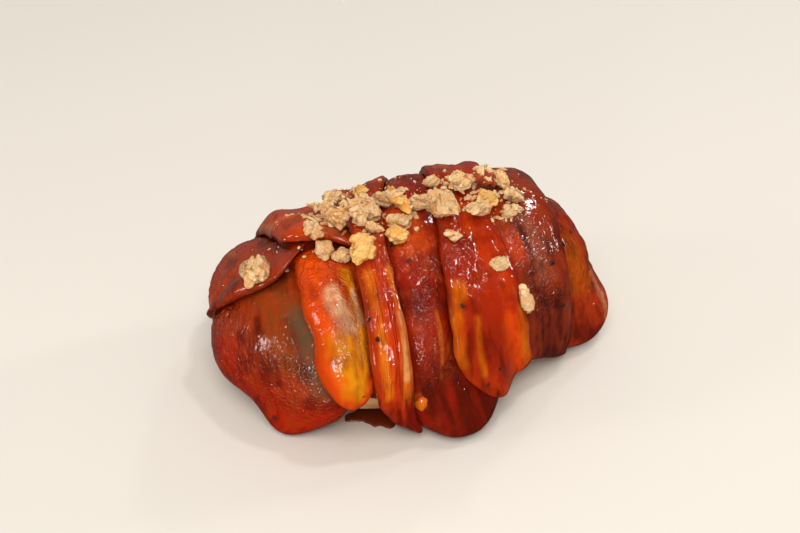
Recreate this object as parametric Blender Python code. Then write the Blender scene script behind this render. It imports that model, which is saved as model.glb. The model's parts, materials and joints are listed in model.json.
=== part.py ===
"""Hunters chicken: a chicken fillet roll wrapped in nine glazed bacon rashers, with crisp crumb pieces on top.

Sizes are in millimetres until the vertices are written. The roll lies along X and its front side faces -Y.
A place on the roll is (u, phi, radius): u runs along a spine inside the roll, phi turns around it from the
top (0) to the front (+90) or the back (-90), and the radius is measured from the spine.
"""
from collections import namedtuple

import bmesh
import bpy
import numpy as np
from mathutils import Vector
from mathutils.bvhtree import BVHTree

OBJECT_NAME = "hunters_chicken"
MM = 0.001

# Outer size of the wrapped roll: x, half width to the front, half width to the back, height
STATIONS = np.array([
    [-64, 22, 32, 24.5],
    [-56, 29.5, 35, 34],
    [-48, 36, 34.5, 40.5],
    [-38, 41, 32, 44],
    [-28, 45, 32, 48.5],
    [-15, 47, 32, 52.5],
    [0, 47.5, 32, 54.5],
    [15, 45, 31, 55.5],
    [28, 38, 29, 55.5],
    [38, 31, 27, 52],
    [48, 27, 24, 46.5],
    [56, 25, 21, 42],
    [66, 22, 17, 34],
], float)
ROLL_MIDDLE_X = 0.8
ROLL_HALF_LENGTH = 61.8
WIDEST_AT = 0.46              # share of the height at which the roll is widest
SHIFT_X, SHIFT_Y = -1.84, 9.11  # brings the middle of the whole bounding box over the origin

# The spine, lower and further back at its left end, and the reach over which the rays fan out to each pole
SPINE_LEFT, SPINE_RIGHT, SPINE_Z = -30.0, 34.0, 24.0
LEFT_BACK, LEFT_DOWN = 10.0, 9.0
FAN = 28.0
POLE = FAN * np.pi / 2

# Rashers
WRAP = 5.0          # how far the fillet lies below the roll's outer size
EDGE = 1.3          # rasher thickness at its rim
THIN = 1.6          # rasher thickness where another lies on it
GAP = 0.5           # between a rasher and what it lies on
FLOOR_GAP = 0.4     # between the rashers and the floor
EASE = 2.5          # reach over which a rasher bridges the steps below it
ROUNDING = 7.0      # degrees by which a rasher's corners are rounded
ROWS_ACROSS = 8
DEGREES_PER_ROW = 9.0
KNOTS = (-120, -60, -15, 20, 50, 75, 95, 118)

Rasher = namedtuple("Rasher", "name left right crown_left crown_right back front seen_from crown bulge colour")
LEAN = (0.42, 0.035, 0.018)
DARK = (0.20, 0.016, 0.010)
FATTY = (0.62, 0.13, 0.03)

# Edges as u at each knot of phi, ends as phi at the left edge, the middle and the right edge. The crown is the
# part that shows between the neighbours, from the given phi on. A bulge is (u, phi, extra thickness, reach in u,
# reach in phi).
RASHERS = (
    Rasher("bacon_rasher_1",
           (-60, -60, -64, -69, -70, -69, -66, -60), (-29, -29, -29, -29, -29, -29, -31, -37),
           (-73, -73, -73, -73, -74, -74, -73, -70), (-34, -34, -34, -34.5, -36, -35, -33, -36),
           (14, 10, 8), (103, 119, 112), 30, 5.0, (-37.5, 114, 12.0, 9, 14), LEAN),
    Rasher("bacon_rasher_4",
           (3, 1, -8, -14.5, -17.5, -18.5, -18.5, -14), (26, 24, 17, 12.5, 7.5, 5, 14, 20),
           (12, 10, -1, -7.5, -10.7, -11.5, -11, -8), (17, 15, 10, 6, 0.2, -1.5, 14, 21),
           (-121, -124, -121), (117, 118, 118), -999, 5.0, (3, 115, 10.4, 13, 12), DARK),
    Rasher("bacon_rasher_8",
           (45, 43, 41, 39, 38, 38, 38, 38), (68, 70, 71, 71.5, 71.5, 71.5, 71, 68),
           (56, 55, 52, 50, 47, 47.4, 47.3, 45), (74, 75, 76, 77, 77, 77, 76, 74),
           (-118, -122, -118), (134, 137, 134), -999, 5.0, (56, 124, 2.6, 12, 14), LEAN),
    Rasher("bacon_rasher_2",
           (-34, -34, -34, -33.5, -34.5, -33.3, -31, -30), (-14, -14, -15, -16, -18.5, -20.5, -22, -22),
           (-35.5, -35.5, -35.5, -35, -36, -35, -32.5, -31.5), (-19, -19, -20, -21, -23.5, -26.5, -26.5, -25),
           (14, 12, 10), (88, 90, 86), 28, 5.2, (-30, 60, 0.6, 8, 30), FATTY),
    Rasher("bacon_rasher_3",
           (-66, -70, -71, -71, -71, -71, -71, -71), (-31, -31, -30, -30, -30, -30, -30, -30),
           (-73, -75, -76, -76, -76, -76, -76, -76), (-42, -41, -40.5, -38.5, -36, -36, -36, -36),
           (-114, -118, -114), (26, 39, 29), -999, 4.4, (-52, 0, 0.6, 10, 20), DARK),
    Rasher("bacon_rasher_5",
           (-40, -39, -38.5, -36.5, -34, -34, -34, -34), (-11, -10, -14, -17, -19, -19, -19, -19),
           (-41, -40, -39.5, -37.5, -35, -35, -35, -35), (-16, -15, -19.5, -21, -22, -22, -22, -22),
           (-119, -122, -119), (29, 28, 36), -999, 4.4, (-27, 10, 0.5, 8, 14), LEAN),
    Rasher("bacon_rasher_7",
           (34, 32, 25, 17.5, 18.5, 20, 22, 25), (54, 53, 50, 48, 45, 45.4, 45.3, 43),
           (41, 39, 32, 24.5, 25, 26.5, 29, 31), (55.5, 54.5, 51.5, 49.5, 46.5, 47, 47, 44.5),
           (-119, -122, -119), (106, 116, 133), -999, 4.8, (37, 60, 0.5, 6, 30), DARK),
    Rasher("bacon_rasher_6",
           (-14, -13, -17.5, -19.7, -22.7, -25.7, -26, -22), (10, 8, -3, -9, -12.8, -13.7, -13, -8),
           (-15.5, -14.5, -19, -21.5, -24.2, -26.8, -27.5, -23.5), (11.5, 9.5, -1.5, -8, -11.2, -12, -11.5, -7),
           (-119, -122, -119), (78, 101, 117), -999, 3.6, (-17, 70, 0.6, 6, 26), FATTY),
    Rasher("bacon_rasher_9",
           (19, 17, 11.5, 7.2, 1.6, -2.4, -1.5, 3), (39, 37, 30, 22.5, 23.5, 25, 27.5, 30),
           (17.5, 15.5, 10, 5.7, 0.1, -3.9, -3, 1.5), (40.5, 38.5, 31.5, 24, 25, 26.5, 29, 31.5),
           (-119, -122, -119), (84, 102, 109), -999, 4.2, (14, 92, 0.6, 9, 16), LEAN),
)

# Crumb pieces: u, phi, length, width, height, turn of the length from the u direction towards the front, bend
Crumb = namedtuple("Crumb", "u phi size turn bend kind")
CRUMBS = (
    Crumb(-43.0, 31, (12.0, 10.5, 5.0), 10, 0.0, "pale"),
    Crumb(-23.0, 11, (11.5, 3.0, 2.6), 8, 0.01, "pale"),
    Crumb(-30.5, 25, (6.5, 6.0, 4.4), 30, 0.0, "pale"),
    Crumb(-28.0, 32, (6.0, 7.5, 4.6), 60, 0.0, "pale"),
    Crumb(-24.3, 24, (10.0, 8.5, 5.4), 70, 0.0, "pale"),
    Crumb(-17.5, 21, (10.5, 6.2, 5.0), 75, 0.0, "pale"),
    Crumb(-12.5, 17, (10.5, 7.0, 3.6), 60, 0.0, "pale"),
    Crumb(-15.0, 28, (7.5, 3.6, 3.0), 5, 0.0, "pale"),
    Crumb(-19.5, 38, (10.0, 9.5, 5.8), 0, 0.0, "golden"),
    Crumb(-23.0, 34, (6.0, 5.5, 4.0), 20, 0.0, "pale"),
    Crumb(-17.5, -2, (11.5, 5.0, 3.6), 5, 0.0, "pale"),
    Crumb(-11.0, -3, (7.0, 5.2, 5.0), 80, 0.0, "golden"),
    Crumb(-7.0, 4, (7.8, 6.5, 4.0), 20, 0.0, "pale"),
    Crumb(-4.0, 13, (17.0, 5.0, 4.0), 62, 0.035, "golden"),
    Crumb(-3.0, 22, (9.0, 5.2, 4.0), 10, 0.0, "pale"),
    Crumb(-8.5, 31, (7.2, 6.8, 5.2), 50, 0.0, "golden"),
    Crumb(3.0, 12, (7.5, 6.5, 4.6), 40, 0.0, "pale"),
    Crumb(8.0, 22, (13.0, 11.5, 6.8), 40, 0.0, "pale"),
    Crumb(15.5, 28, (9.5, 5.8, 4.6), 5, 0.0, "pale"),
    Crumb(17.0, 6, (10.5, 8.2, 4.6), 15, 0.0, "glazed"),
    Crumb(24.0, 9, (8.0, 7.6, 5.2), 70, 0.0, "red"),
    Crumb(30.5, 6, (8.5, 6.0, 4.8), 60, 0.0, "glazed"),
    Crumb(33.0, 17, (8.0, 7.2, 4.4), 30, 0.0, "pale"),
    Crumb(29.0, 28, (11.0, 4.4, 3.6), 8, 0.0, "pale"),
    Crumb(21.5, 20, (10.0, 5.0, 4.4), 12, 0.0, "golden"),
    Crumb(7.5, 37, (7.4, 3.0, 2.8), 35, 0.06, "pale"),
    Crumb(18.0, 52, (6.0, 5.2, 3.6), 30, 0.0, "pale"),
    Crumb(25.0, 68, (11.5, 4.4, 3.4), 80, 0.02, "pale"),
    Crumb(10.5, 0, (5.6, 4.4, 3.4), 20, 0.0, "pale"),
)
CRUMB_COLOURS = {
    "pale": (0.62, 0.36, 0.16),
    "golden": (0.75, 0.42, 0.14),
    "glazed": (0.85, 0.60, 0.30),
    "red": (0.42, 0.05, 0.02),
}
CRUMB_GAP = 0.35
CRUMB_CUTS = 9
SEED = 7


def smooth(value, low, high):
    """0 below low, 1 above high, with an even slope between them."""
    share = np.clip((value - low) / (high - low), 0, 1)
    return share * share * (3 - 2 * share)


def roll_value(point):
    """Under 1 inside the wrapped roll, over 1 outside it."""
    x, y, z = point[..., 0], point[..., 1], point[..., 2]
    front = np.interp(x, STATIONS[:, 0], STATIONS[:, 1])
    back = np.interp(x, STATIONS[:, 0], STATIONS[:, 2])
    height = np.interp(x, STATIONS[:, 0], STATIONS[:, 3])
    middle = WIDEST_AT * height
    across = np.abs(y / np.where(y < 0, front, back))
    upper = (across ** 2.2 + np.abs((z - middle) / (height - middle)) ** 2.2) ** (1 / 2.2)
    lower = (across ** 4 + np.abs((z - middle) / (middle + 1)) ** 4) ** 0.25
    section = np.where(z > middle, upper, lower)
    along = np.abs((x - ROLL_MIDDLE_X) / ROLL_HALF_LENGTH)
    low = smooth(-z, -24, -6)
    right = smooth(x, -20, 30)
    return along ** (5 + low * (8 * right - 2.8)) + section ** (3 + 2 * low * right - 0.5 * low * (1 - right))


def rays(u, phi):
    """Start on the spine and direction for each (u, phi in degrees)."""
    turn = np.radians(phi)
    start_x = np.clip(u, SPINE_LEFT, SPINE_RIGHT)
    lean = (u - start_x) / FAN
    aside = smooth(-start_x, 0, -SPINE_LEFT)
    start = np.stack([start_x, LEFT_BACK * aside, SPINE_Z - LEFT_DOWN * aside], -1)
    direction = np.stack([np.sin(lean), -np.sin(turn) * np.cos(lean), np.cos(turn) * np.cos(lean)], -1)
    return start, direction


def roll_radius(u, phi):
    """Radius of the wrapped roll, found by halving."""
    start, direction = rays(u, phi)
    near = np.zeros(u.shape)
    far = np.full(u.shape, 110.0)
    for _ in range(30):
        middle = (near + far) / 2
        within = roll_value(start + direction * middle[..., None]) < 1
        near = np.where(within, middle, near)
        far = np.where(within, far, middle)
    return near


def fillet_radius(u, phi):
    """Radius of the chicken under the rashers, flat where it lies on the floor."""
    under = smooth(np.abs(phi), 118, 150) * np.clip(np.cos((u - np.clip(u, SPINE_LEFT, SPINE_RIGHT)) / FAN), 0, 1)
    radius = roll_radius(u, phi) - WRAP * (1 - under)
    start, direction = rays(u, phi)
    down = -direction[..., 2]
    floor = np.where(down > 0.05, start[..., 2] / np.maximum(down, 0.05), 1e3)
    return np.minimum(radius, floor)


def to_points(u, phi, radius):
    """Points in millimetres, moved so that the whole stands over the origin."""
    start, direction = rays(u, phi)
    return start + direction * radius[..., None] + np.array([SHIFT_X, SHIFT_Y, 0.0])


class Stack:
    """The outer surface of all that is laid so far, as a radius on a raster of u and phi."""

    STEP_U = 0.5
    STEP_PHI = 1.0

    def __init__(self):
        self.u = np.arange(SPINE_LEFT - POLE, SPINE_RIGHT + POLE + self.STEP_U, self.STEP_U)
        self.phi = np.arange(-180, 180, self.STEP_PHI)
        self.grid_u, self.grid_phi = np.meshgrid(self.u, self.phi, indexing="ij")
        self.top = fillet_radius(self.grid_u, self.grid_phi)

    def shifted(self, table, step_u, step_phi):
        rows = np.clip(np.arange(len(self.u)) + step_u, 0, len(self.u) - 1)
        return np.roll(table[rows], step_phi, axis=1)

    def bed(self):
        """A smooth surface that touches or clears the stack everywhere."""
        reach_u = round(EASE / self.STEP_U)
        reach_phi = round(np.degrees(EASE / 45) / self.STEP_PHI)
        table = self.top
        table = np.max([self.shifted(table, k, 0) for k in range(-reach_u, reach_u + 1)], axis=0)
        table = np.max([self.shifted(table, 0, k) for k in range(-reach_phi, reach_phi + 1)], axis=0)
        table = np.mean([self.shifted(table, k, 0) for k in range(-reach_u, reach_u + 1)], axis=0)
        return np.mean([self.shifted(table, 0, k) for k in range(-reach_phi, reach_phi + 1)], axis=0)

    def sample(self, table, u, phi):
        """Reads a raster between its cells."""
        across = np.clip((u - self.u[0]) / self.STEP_U, 0, len(self.u) - 1.001)
        around = ((phi + 180) / self.STEP_PHI) % len(self.phi)
        i = across.astype(int)
        j = around.astype(int) % len(self.phi)
        a = across - i
        b = around - np.floor(around)
        k = (j + 1) % len(self.phi)
        return ((1 - a) * (1 - b) * table[i, j] + a * (1 - b) * table[i + 1, j]
                + (1 - a) * b * table[i, k] + a * b * table[i + 1, k])


def edge_at(values, phi):
    """An edge's u at each phi: straight between the knots, then eased over 16 degrees."""
    steps = [np.interp(phi + k, KNOTS, values) for k in (-8, -4, 0, 4, 8)]
    return np.mean(steps, axis=0)


def end_at(values, side, inwards):
    """An end's phi across the rasher, side from -1 to 1, with its corners rounded inwards."""
    left, middle, right = values
    line = middle + side * (right - left) / 2 + side ** 2 * ((left + right) / 2 - middle)
    return line + inwards * ROUNDING * side ** 6


def ends(rasher, side):
    return end_at(rasher.back, side, 1), end_at(rasher.front, side, -1)


def thickness(rasher, u, phi, side, share):
    """Rasher thickness: crowned where it shows, thin below its neighbours, and thinner again at its rim."""
    low = edge_at(rasher.crown_left, phi)
    high = edge_at(rasher.crown_right, phi)
    swell = np.sqrt(np.clip(1 - np.abs((2 * u - low - high) / (high - low)) ** 2.4, 0, 1))
    bulge_u, bulge_phi, extra, reach_u, reach_phi = rasher.bulge
    bulge = extra * np.exp(-np.abs((u - bulge_u) / reach_u) ** 3 - ((phi - bulge_phi) / reach_phi) ** 2)
    seen = smooth(phi, rasher.seen_from - 8, rasher.seen_from + 6)
    body = THIN + (rasher.crown - THIN + bulge) * swell * seen
    rim = (1 - np.abs(side) ** 5) * (1 - np.abs(2 * share - 1) ** 22)
    return EDGE + (body - EDGE) * np.sqrt(np.clip(rim, 0, 1))


def lay_rasher(stack, rasher):
    """Adds one rasher to the stack and returns the bed it lies on."""
    bed = stack.bed() + GAP
    u, phi = stack.grid_u, stack.grid_phi
    left, right = edge_at(rasher.left, phi), edge_at(rasher.right, phi)
    side = (2 * u - left - right) / (right - left)
    inside_side = np.clip(side, -1, 1)
    start, end = ends(rasher, inside_side)
    share = (phi - start) / (end - start)
    covered = (np.abs(side) <= 1) & (share >= 0) & (share <= 1)
    outer = bed + thickness(rasher, u, phi, inside_side, np.clip(share, 0, 1))
    stack.top = np.where(covered, np.maximum(stack.top, outer), stack.top)
    return bed


def material(name, colour, roughness):
    made = bpy.data.materials.new(name)
    made.use_nodes = True
    shader = made.node_tree.nodes["Principled BSDF"]
    shader.inputs["Base Color"].default_value = (*colour, 1.0)
    shader.inputs["Roughness"].default_value = roughness
    shader.inputs["Metallic"].default_value = 0.0
    return made


def finish(mesh_data, name, points, colour, roughness, collection):
    """Writes the points (mm) and adds the object."""
    for vertex, point in zip(mesh_data.verts, points):
        vertex.co = Vector(point) * MM
    bmesh.ops.triangulate(mesh_data, faces=mesh_data.faces[:])
    bmesh.ops.recalc_face_normals(mesh_data, faces=mesh_data.faces[:])
    if mesh_data.calc_volume(signed=True) < 0:
        bmesh.ops.reverse_faces(mesh_data, faces=mesh_data.faces[:])
    mesh = bpy.data.meshes.new(name)
    mesh_data.to_mesh(mesh)
    mesh_data.free()
    made = bpy.data.objects.new(name, mesh)
    made.data.materials.append(material(name + "_surface", colour, roughness))
    collection.objects.link(made)
    return made


def coordinates(mesh_data):
    mesh_data.verts.ensure_lookup_table()
    return np.array([vertex.co[:] for vertex in mesh_data.verts])


def build_fillet(collection):
    """A sphere whose poles become the two ends of the roll."""
    mesh_data = bmesh.new()
    bmesh.ops.create_uvsphere(mesh_data, u_segments=36, v_segments=22, radius=1)
    unit = coordinates(mesh_data)
    along = np.arccos(np.clip(-unit[:, 2], -1, 1)) / np.pi
    phi = np.degrees(np.arctan2(unit[:, 0], unit[:, 1]))
    u = SPINE_LEFT - POLE + along * (SPINE_RIGHT - SPINE_LEFT + 2 * POLE)
    points = to_points(u, phi, fillet_radius(u, phi))
    return finish(mesh_data, "chicken_fillet", points, (0.55, 0.28, 0.13), 0.5, collection)


def build_rasher(stack, rasher, collection):
    """A grid drawn out to a slab, its lower sheet on the bed and its upper sheet a thickness above it."""
    bed = lay_rasher(stack, rasher)
    length = rasher.front[1] - rasher.back[1]
    mesh_data = bmesh.new()
    bmesh.ops.create_grid(mesh_data, x_segments=ROWS_ACROSS, y_segments=round(length / DEGREES_PER_ROW), size=1)
    lower_count = len(mesh_data.verts)
    bmesh.ops.extrude_face_region(mesh_data, geom=mesh_data.faces[:], use_keep_orig=True)
    square = coordinates(mesh_data)
    upper = np.arange(len(square)) >= lower_count
    side = np.sin(square[:, 0] * np.pi / 2) * 0.35 + square[:, 0] * 0.65
    share = (square[:, 1] + 1) / 2
    start, end = ends(rasher, side)
    phi = start + share * (end - start)
    left, right = edge_at(rasher.left, phi), edge_at(rasher.right, phi)
    u = (left + right) / 2 + side * (right - left) / 2
    radius = stack.sample(bed, u, phi)
    radius = radius + np.where(upper, thickness(rasher, u, phi, side, share), 0)
    points = to_points(u, phi, radius)
    points[:, 2] = np.maximum(points[:, 2], FLOOR_GAP)
    return finish(mesh_data, rasher.name, points, rasher.colour, 0.25, collection)


def crumb_form(crumb, random):
    """A rough chunk: a ball cut by tilted planes, stretched to size and bent. Centred on its middle."""
    mesh_data = bmesh.new()
    level = 3 if min(crumb.size[:2]) > 8 else 2
    bmesh.ops.create_icosphere(mesh_data, subdivisions=level, radius=1)
    unit = coordinates(mesh_data)
    unit = unit / np.linalg.norm(unit, axis=1, keepdims=True)
    reach = np.ones(len(unit))
    for _ in range(CRUMB_CUTS):
        normal = random.normal(size=3)
        normal /= np.linalg.norm(normal)
        facing = np.maximum(unit @ normal, 1e-3)
        reach = np.minimum(reach, random.uniform(0.62, 0.9) / facing)
    waves = random.normal(size=(5, 3)) * 3.0
    turns = random.uniform(0, 6.28, 5)
    reach *= 1 + 0.08 * np.sin(unit @ waves.T + turns).sum(axis=1)
    form = unit * reach[:, None]
    form /= np.abs(form).max(axis=0)
    form *= np.array(crumb.size) / 2
    form[:, 1] += crumb.bend * (form[:, 0] ** 2 - (crumb.size[0] / 4) ** 2)
    return mesh_data, form


def tree_of(mesh_data, points):
    faces = [[vertex.index for vertex in face.verts] for face in mesh_data.faces]
    return BVHTree.FromPolygons([Vector(point) for point in points], faces)


def object_tree(made):
    points = [vertex.co / MM for vertex in made.data.vertices]
    return BVHTree.FromPolygons(points, [list(polygon.vertices) for polygon in made.data.polygons])


def seat(crumb, u, phi, lift, form, stack):
    """Puts a crumb's form on the roll at (u, phi), lifted along the roll's own outward direction."""
    spot_u, spot_phi = np.array([u]), np.array([phi])
    radius = stack.sample(stack.top, spot_u, spot_phi)
    here = to_points(spot_u, spot_phi, radius)[0]
    beside = to_points(spot_u + 2, spot_phi, stack.sample(stack.top, spot_u + 2, spot_phi))[0] - here
    ahead = to_points(spot_u, spot_phi + 3, stack.sample(stack.top, spot_u, spot_phi + 3))[0] - here
    normal = rays(spot_u, spot_phi)[1][0] + 0.6 * np.cross(ahead, beside) / np.linalg.norm(np.cross(ahead, beside))
    normal /= np.linalg.norm(normal)
    beside = beside - normal * (beside @ normal)
    beside /= np.linalg.norm(beside)
    ahead = np.cross(beside, normal)
    turn = np.radians(crumb.turn)
    long_axis = np.cos(turn) * beside + np.sin(turn) * ahead
    cross_axis = np.cross(normal, long_axis)
    frame = np.stack([long_axis, cross_axis, normal])
    return here + normal * (crumb.size[2] * 0.42 + lift) + form @ frame


def build_crumbs(stack, laid, collection):
    """Drops each crumb on what is already there, trying places nearby and keeping the lowest free one."""
    random = np.random.default_rng(SEED)
    trees = [object_tree(made) for made in laid]
    near = [(0.0, 0.0)] + [(1.6 * np.cos(k), 2.0 * np.sin(k)) for k in np.arange(8) * np.pi / 4]
    for number, crumb in enumerate(CRUMBS, 1):
        mesh_data, form = crumb_form(crumb, random)
        grown = form * (1 + 2 * CRUMB_GAP / np.array(crumb.size))
        best = None
        for step_u, step_phi in near:
            lift = -1.0
            while lift < 9.0:
                tree = tree_of(mesh_data, seat(crumb, crumb.u + step_u, crumb.phi + step_phi, lift, grown, stack))
                if not any(tree.overlap(other) for other in trees):
                    break
                lift += 0.25
            cost = lift + 0.4 * np.hypot(step_u, step_phi)
            if best is None or cost < best[0]:
                best = (cost, step_u, step_phi, lift)
        _, step_u, step_phi, lift = best
        points = seat(crumb, crumb.u + step_u, crumb.phi + step_phi, lift, form, stack)
        name = f"crumb_{number:02d}"
        made = finish(mesh_data, name, points, CRUMB_COLOURS[crumb.kind], 0.7, collection)
        trees.append(object_tree(made))


def build():
    for old in list(bpy.data.objects):
        bpy.data.objects.remove(old)
    collection = bpy.data.collections.new(OBJECT_NAME)
    bpy.context.scene.collection.children.link(collection)
    stack = Stack()
    laid = [build_fillet(collection)]
    for rasher in RASHERS:
        laid.append(build_rasher(stack, rasher, collection))
    build_crumbs(stack, laid, collection)


build()
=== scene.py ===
# %% [markdown]
# # Hunters chicken
# The real dish is a chicken fillet rolled up in streaky bacon, brushed with red barbecue sauce and
# strewn with crisp crumb pieces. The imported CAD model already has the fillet, the nine rashers and the
# 29 larger crumb pieces in their places. This script keeps those places and gives every surface the
# detail of the real food.

# %% Frame
import json
from collections import namedtuple

import bpy
import numpy as np
from mathutils import Matrix, Vector
from mathutils.bvhtree import BVHTree


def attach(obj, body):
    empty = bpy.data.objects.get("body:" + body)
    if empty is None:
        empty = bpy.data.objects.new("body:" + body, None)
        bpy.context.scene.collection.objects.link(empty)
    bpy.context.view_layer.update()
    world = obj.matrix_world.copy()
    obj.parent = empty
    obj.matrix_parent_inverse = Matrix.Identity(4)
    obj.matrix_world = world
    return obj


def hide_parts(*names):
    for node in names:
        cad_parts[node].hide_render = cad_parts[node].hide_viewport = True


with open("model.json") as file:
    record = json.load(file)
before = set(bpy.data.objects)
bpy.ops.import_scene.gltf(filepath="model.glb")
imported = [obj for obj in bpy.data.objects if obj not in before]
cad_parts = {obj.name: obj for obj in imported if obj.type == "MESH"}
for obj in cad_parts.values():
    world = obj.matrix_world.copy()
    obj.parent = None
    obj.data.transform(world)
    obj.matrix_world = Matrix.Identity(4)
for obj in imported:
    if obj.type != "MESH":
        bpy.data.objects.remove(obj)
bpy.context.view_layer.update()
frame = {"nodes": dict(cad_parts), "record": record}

# %% [markdown]
# ## Camera and light
# The camera stands where the photograph was taken: in front, a little to the left and above. A camera
# needs only a place, three axes and a focal length. The light is a pale surround and one wide soft lamp
# from above the front, which light the food but don't show in its gloss, because a wide reflection
# makes a dark glaze milky. The gloss sees a dark room, small lamps that draw crisp, broken highlights,
# and a pale backdrop behind the food, which keeps the outline from turning black.

# %% Camera
MM = 0.001
SHIFT_X, SHIFT_Y = -1.84, 9.11     # mm added to the roll's own coordinates, so that it stands over the origin
CAMERA_TURN = np.radians(20.0)
CAMERA_PITCH = np.radians(36.7)
CAMERA_AWAY = 369.0
CAMERA_HEIGHT = 305.0
FOCAL_PIXELS = 1483.0
IMAGE_WIDTH = 800
SENSOR = 36.0


def make_camera():
    """Camera axes: right is level, forward looks down by the pitch, up is right x forward."""
    turn_sin, turn_cos = np.sin(CAMERA_TURN), np.cos(CAMERA_TURN)
    place = Vector((-CAMERA_AWAY * turn_sin + SHIFT_X, -CAMERA_AWAY * turn_cos + SHIFT_Y, CAMERA_HEIGHT)) * MM
    pitch_sin, pitch_cos = np.sin(CAMERA_PITCH), np.cos(CAMERA_PITCH)
    forward = Vector((turn_sin * pitch_cos, turn_cos * pitch_cos, -pitch_sin))
    right = Vector((turn_cos, -turn_sin, 0.0))
    up = right.cross(forward)
    data = bpy.data.cameras.new("view")
    data.sensor_width = SENSOR
    data.lens = FOCAL_PIXELS * SENSOR / IMAGE_WIDTH
    data.clip_start = 0.01
    camera = bpy.data.objects.new("view", data)
    camera.matrix_world = Matrix.Translation(place) @ Matrix((right, up, -forward)).transposed().to_4x4()
    bpy.context.scene.collection.objects.link(camera)
    bpy.context.scene.camera = camera
    print("camera", [round(v, 4) for v in place], "lens", round(data.lens, 2))


make_camera()

# %% Light and floor
SURROUND = (1.0, 0.955, 0.90)
SURROUND_STRENGTH = 0.48
REFLECTED_STRENGTH = 0.02          # the gloss reflects a darker room than the one that lights the food
BACKDROP_STRENGTH = 0.13           # but the pale backdrop behind the food shows in the gloss of its outline
BACKDROP_FROM, BACKDROP_FULL = 0.55, 0.85     # y of the reflected direction
FLOOR_COLOUR = (0.78, 0.745, 0.69)
FLOOR_POINTS, FLOOR_HALF_WIDTH = 49, 3.0
FLOOR_LEVEL = 0.6                  # share of the profile's points that lie level
FLOOR_NEAR, FLOOR_FAR, FLOOR_BEND = -1.6, 1.4, 0.9     # y of the level part's ends, radius of the bend, in m
LAMPS = (
    # name, place in m, size in m, power in W, colour, whether it shows in the gloss
    ("wide_lamp", (-0.25, -0.60, 1.00), 0.75, 7.4, (1.0, 0.96, 0.90), False),
    ("top_lamp", (0.27, -0.06, 0.96), 0.09, 1.35, (1.0, 0.97, 0.93), True),
    ("front_lamp", (-0.26, -0.66, 0.74), 0.06, 0.8, (1.0, 0.97, 0.93), True),
    ("low_lamp", (-0.55, -1.00, 0.10), 0.18, 2.6, (1.0, 0.97, 0.93), True),
    ("left_lamp", (-0.88, 0.08, 0.42), 0.24, 1.1, (1.0, 0.93, 0.90), True),
    ("right_lamp", (0.92, 0.02, 0.42), 0.12, 1.4, (1.0, 0.97, 0.93), True),
    ("back_lamp", (0.55, 0.48, 0.66), 0.09, 0.7, (1.0, 0.98, 0.96), True),
)
AIM = Vector((0.0, 0.0, 0.02))


def make_surround():
    """One strength for what it lights. What the gloss shows is dark, and rises with y to the backdrop."""
    world = bpy.data.worlds.new("surround")
    bpy.context.scene.world = world
    world.use_nodes = True
    tree = world.node_tree
    background = tree.nodes["Background"]
    background.inputs["Color"].default_value = (*SURROUND, 1.0)
    path = tree.nodes.new("ShaderNodeLightPath")
    direction = tree.nodes.new("ShaderNodeSeparateXYZ")
    tree.links.new(tree.nodes.new("ShaderNodeTexCoord").outputs["Generated"], direction.inputs[0])
    backdrop = tree.nodes.new("ShaderNodeMapRange")
    backdrop.interpolation_type = "SMOOTHSTEP"
    backdrop.inputs["From Min"].default_value = BACKDROP_FROM
    backdrop.inputs["From Max"].default_value = BACKDROP_FULL
    backdrop.inputs["To Min"].default_value = REFLECTED_STRENGTH
    backdrop.inputs["To Max"].default_value = BACKDROP_STRENGTH
    tree.links.new(direction.outputs["Y"], backdrop.inputs["Value"])
    strength = tree.nodes.new("ShaderNodeMapRange")
    strength.inputs["To Min"].default_value = SURROUND_STRENGTH
    tree.links.new(backdrop.outputs["Result"], strength.inputs["To Max"])
    tree.links.new(path.outputs["Is Glossy Ray"], strength.inputs["Value"])
    tree.links.new(strength.outputs["Result"], background.inputs["Strength"])
    bpy.context.scene.view_settings.view_transform = "Standard"


def make_lamps():
    """Area lamps that look at the roll: the lamp's -Z axis points along the line to the aim."""
    for name, place, size, power, colour, glossy in LAMPS:
        data = bpy.data.lights.new(name, "AREA")
        data.shape = "DISK"
        data.size = size
        data.energy = power
        data.color = colour
        lamp = bpy.data.objects.new(name, data)
        turn = (AIM - Vector(place)).to_track_quat("-Z", "Y").to_matrix().to_4x4()
        lamp.matrix_world = Matrix.Translation(place) @ turn
        lamp.visible_glossy = glossy
        bpy.context.scene.collection.objects.link(lamp)
    print(len(LAMPS), "lamps")


make_surround()
make_lamps()


def make_floor():
    """A pale sweep: a profile in y and z, level and then curving up, carried along x."""
    run = np.linspace(0, 1, FLOOR_POINTS)
    bend = np.clip((run - FLOOR_LEVEL) / (1 - FLOOR_LEVEL), 0, 1) * np.pi / 2
    level = FLOOR_NEAR + (FLOOR_FAR - FLOOR_NEAR) * run / FLOOR_LEVEL
    y = np.where(run < FLOOR_LEVEL, level, FLOOR_FAR + FLOOR_BEND * np.sin(bend))
    z = FLOOR_BEND * (1 - np.cos(bend))
    sides = (-FLOOR_HALF_WIDTH, FLOOR_HALF_WIDTH)
    points = np.concatenate([np.stack([np.full(FLOOR_POINTS, x), y, z], -1) for x in sides])
    low = np.arange(FLOOR_POINTS - 1)
    faces = np.stack([low, low + FLOOR_POINTS, low + FLOOR_POINTS + 1, low + 1], -1)
    mesh = bpy.data.meshes.new("floor")
    mesh.from_pydata(points.tolist(), [], faces.tolist())
    floor = bpy.data.objects.new("floor", mesh)
    bpy.context.scene.collection.objects.link(floor)
    material = bpy.data.materials.new("floor_paper")
    material.use_nodes = True
    shader = material.node_tree.nodes["Principled BSDF"]
    shader.inputs["Base Color"].default_value = (*FLOOR_COLOUR, 1.0)
    shader.inputs["Roughness"].default_value = 0.7
    mesh.materials.append(material)
    floor.visible_glossy = False


make_floor()

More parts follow.
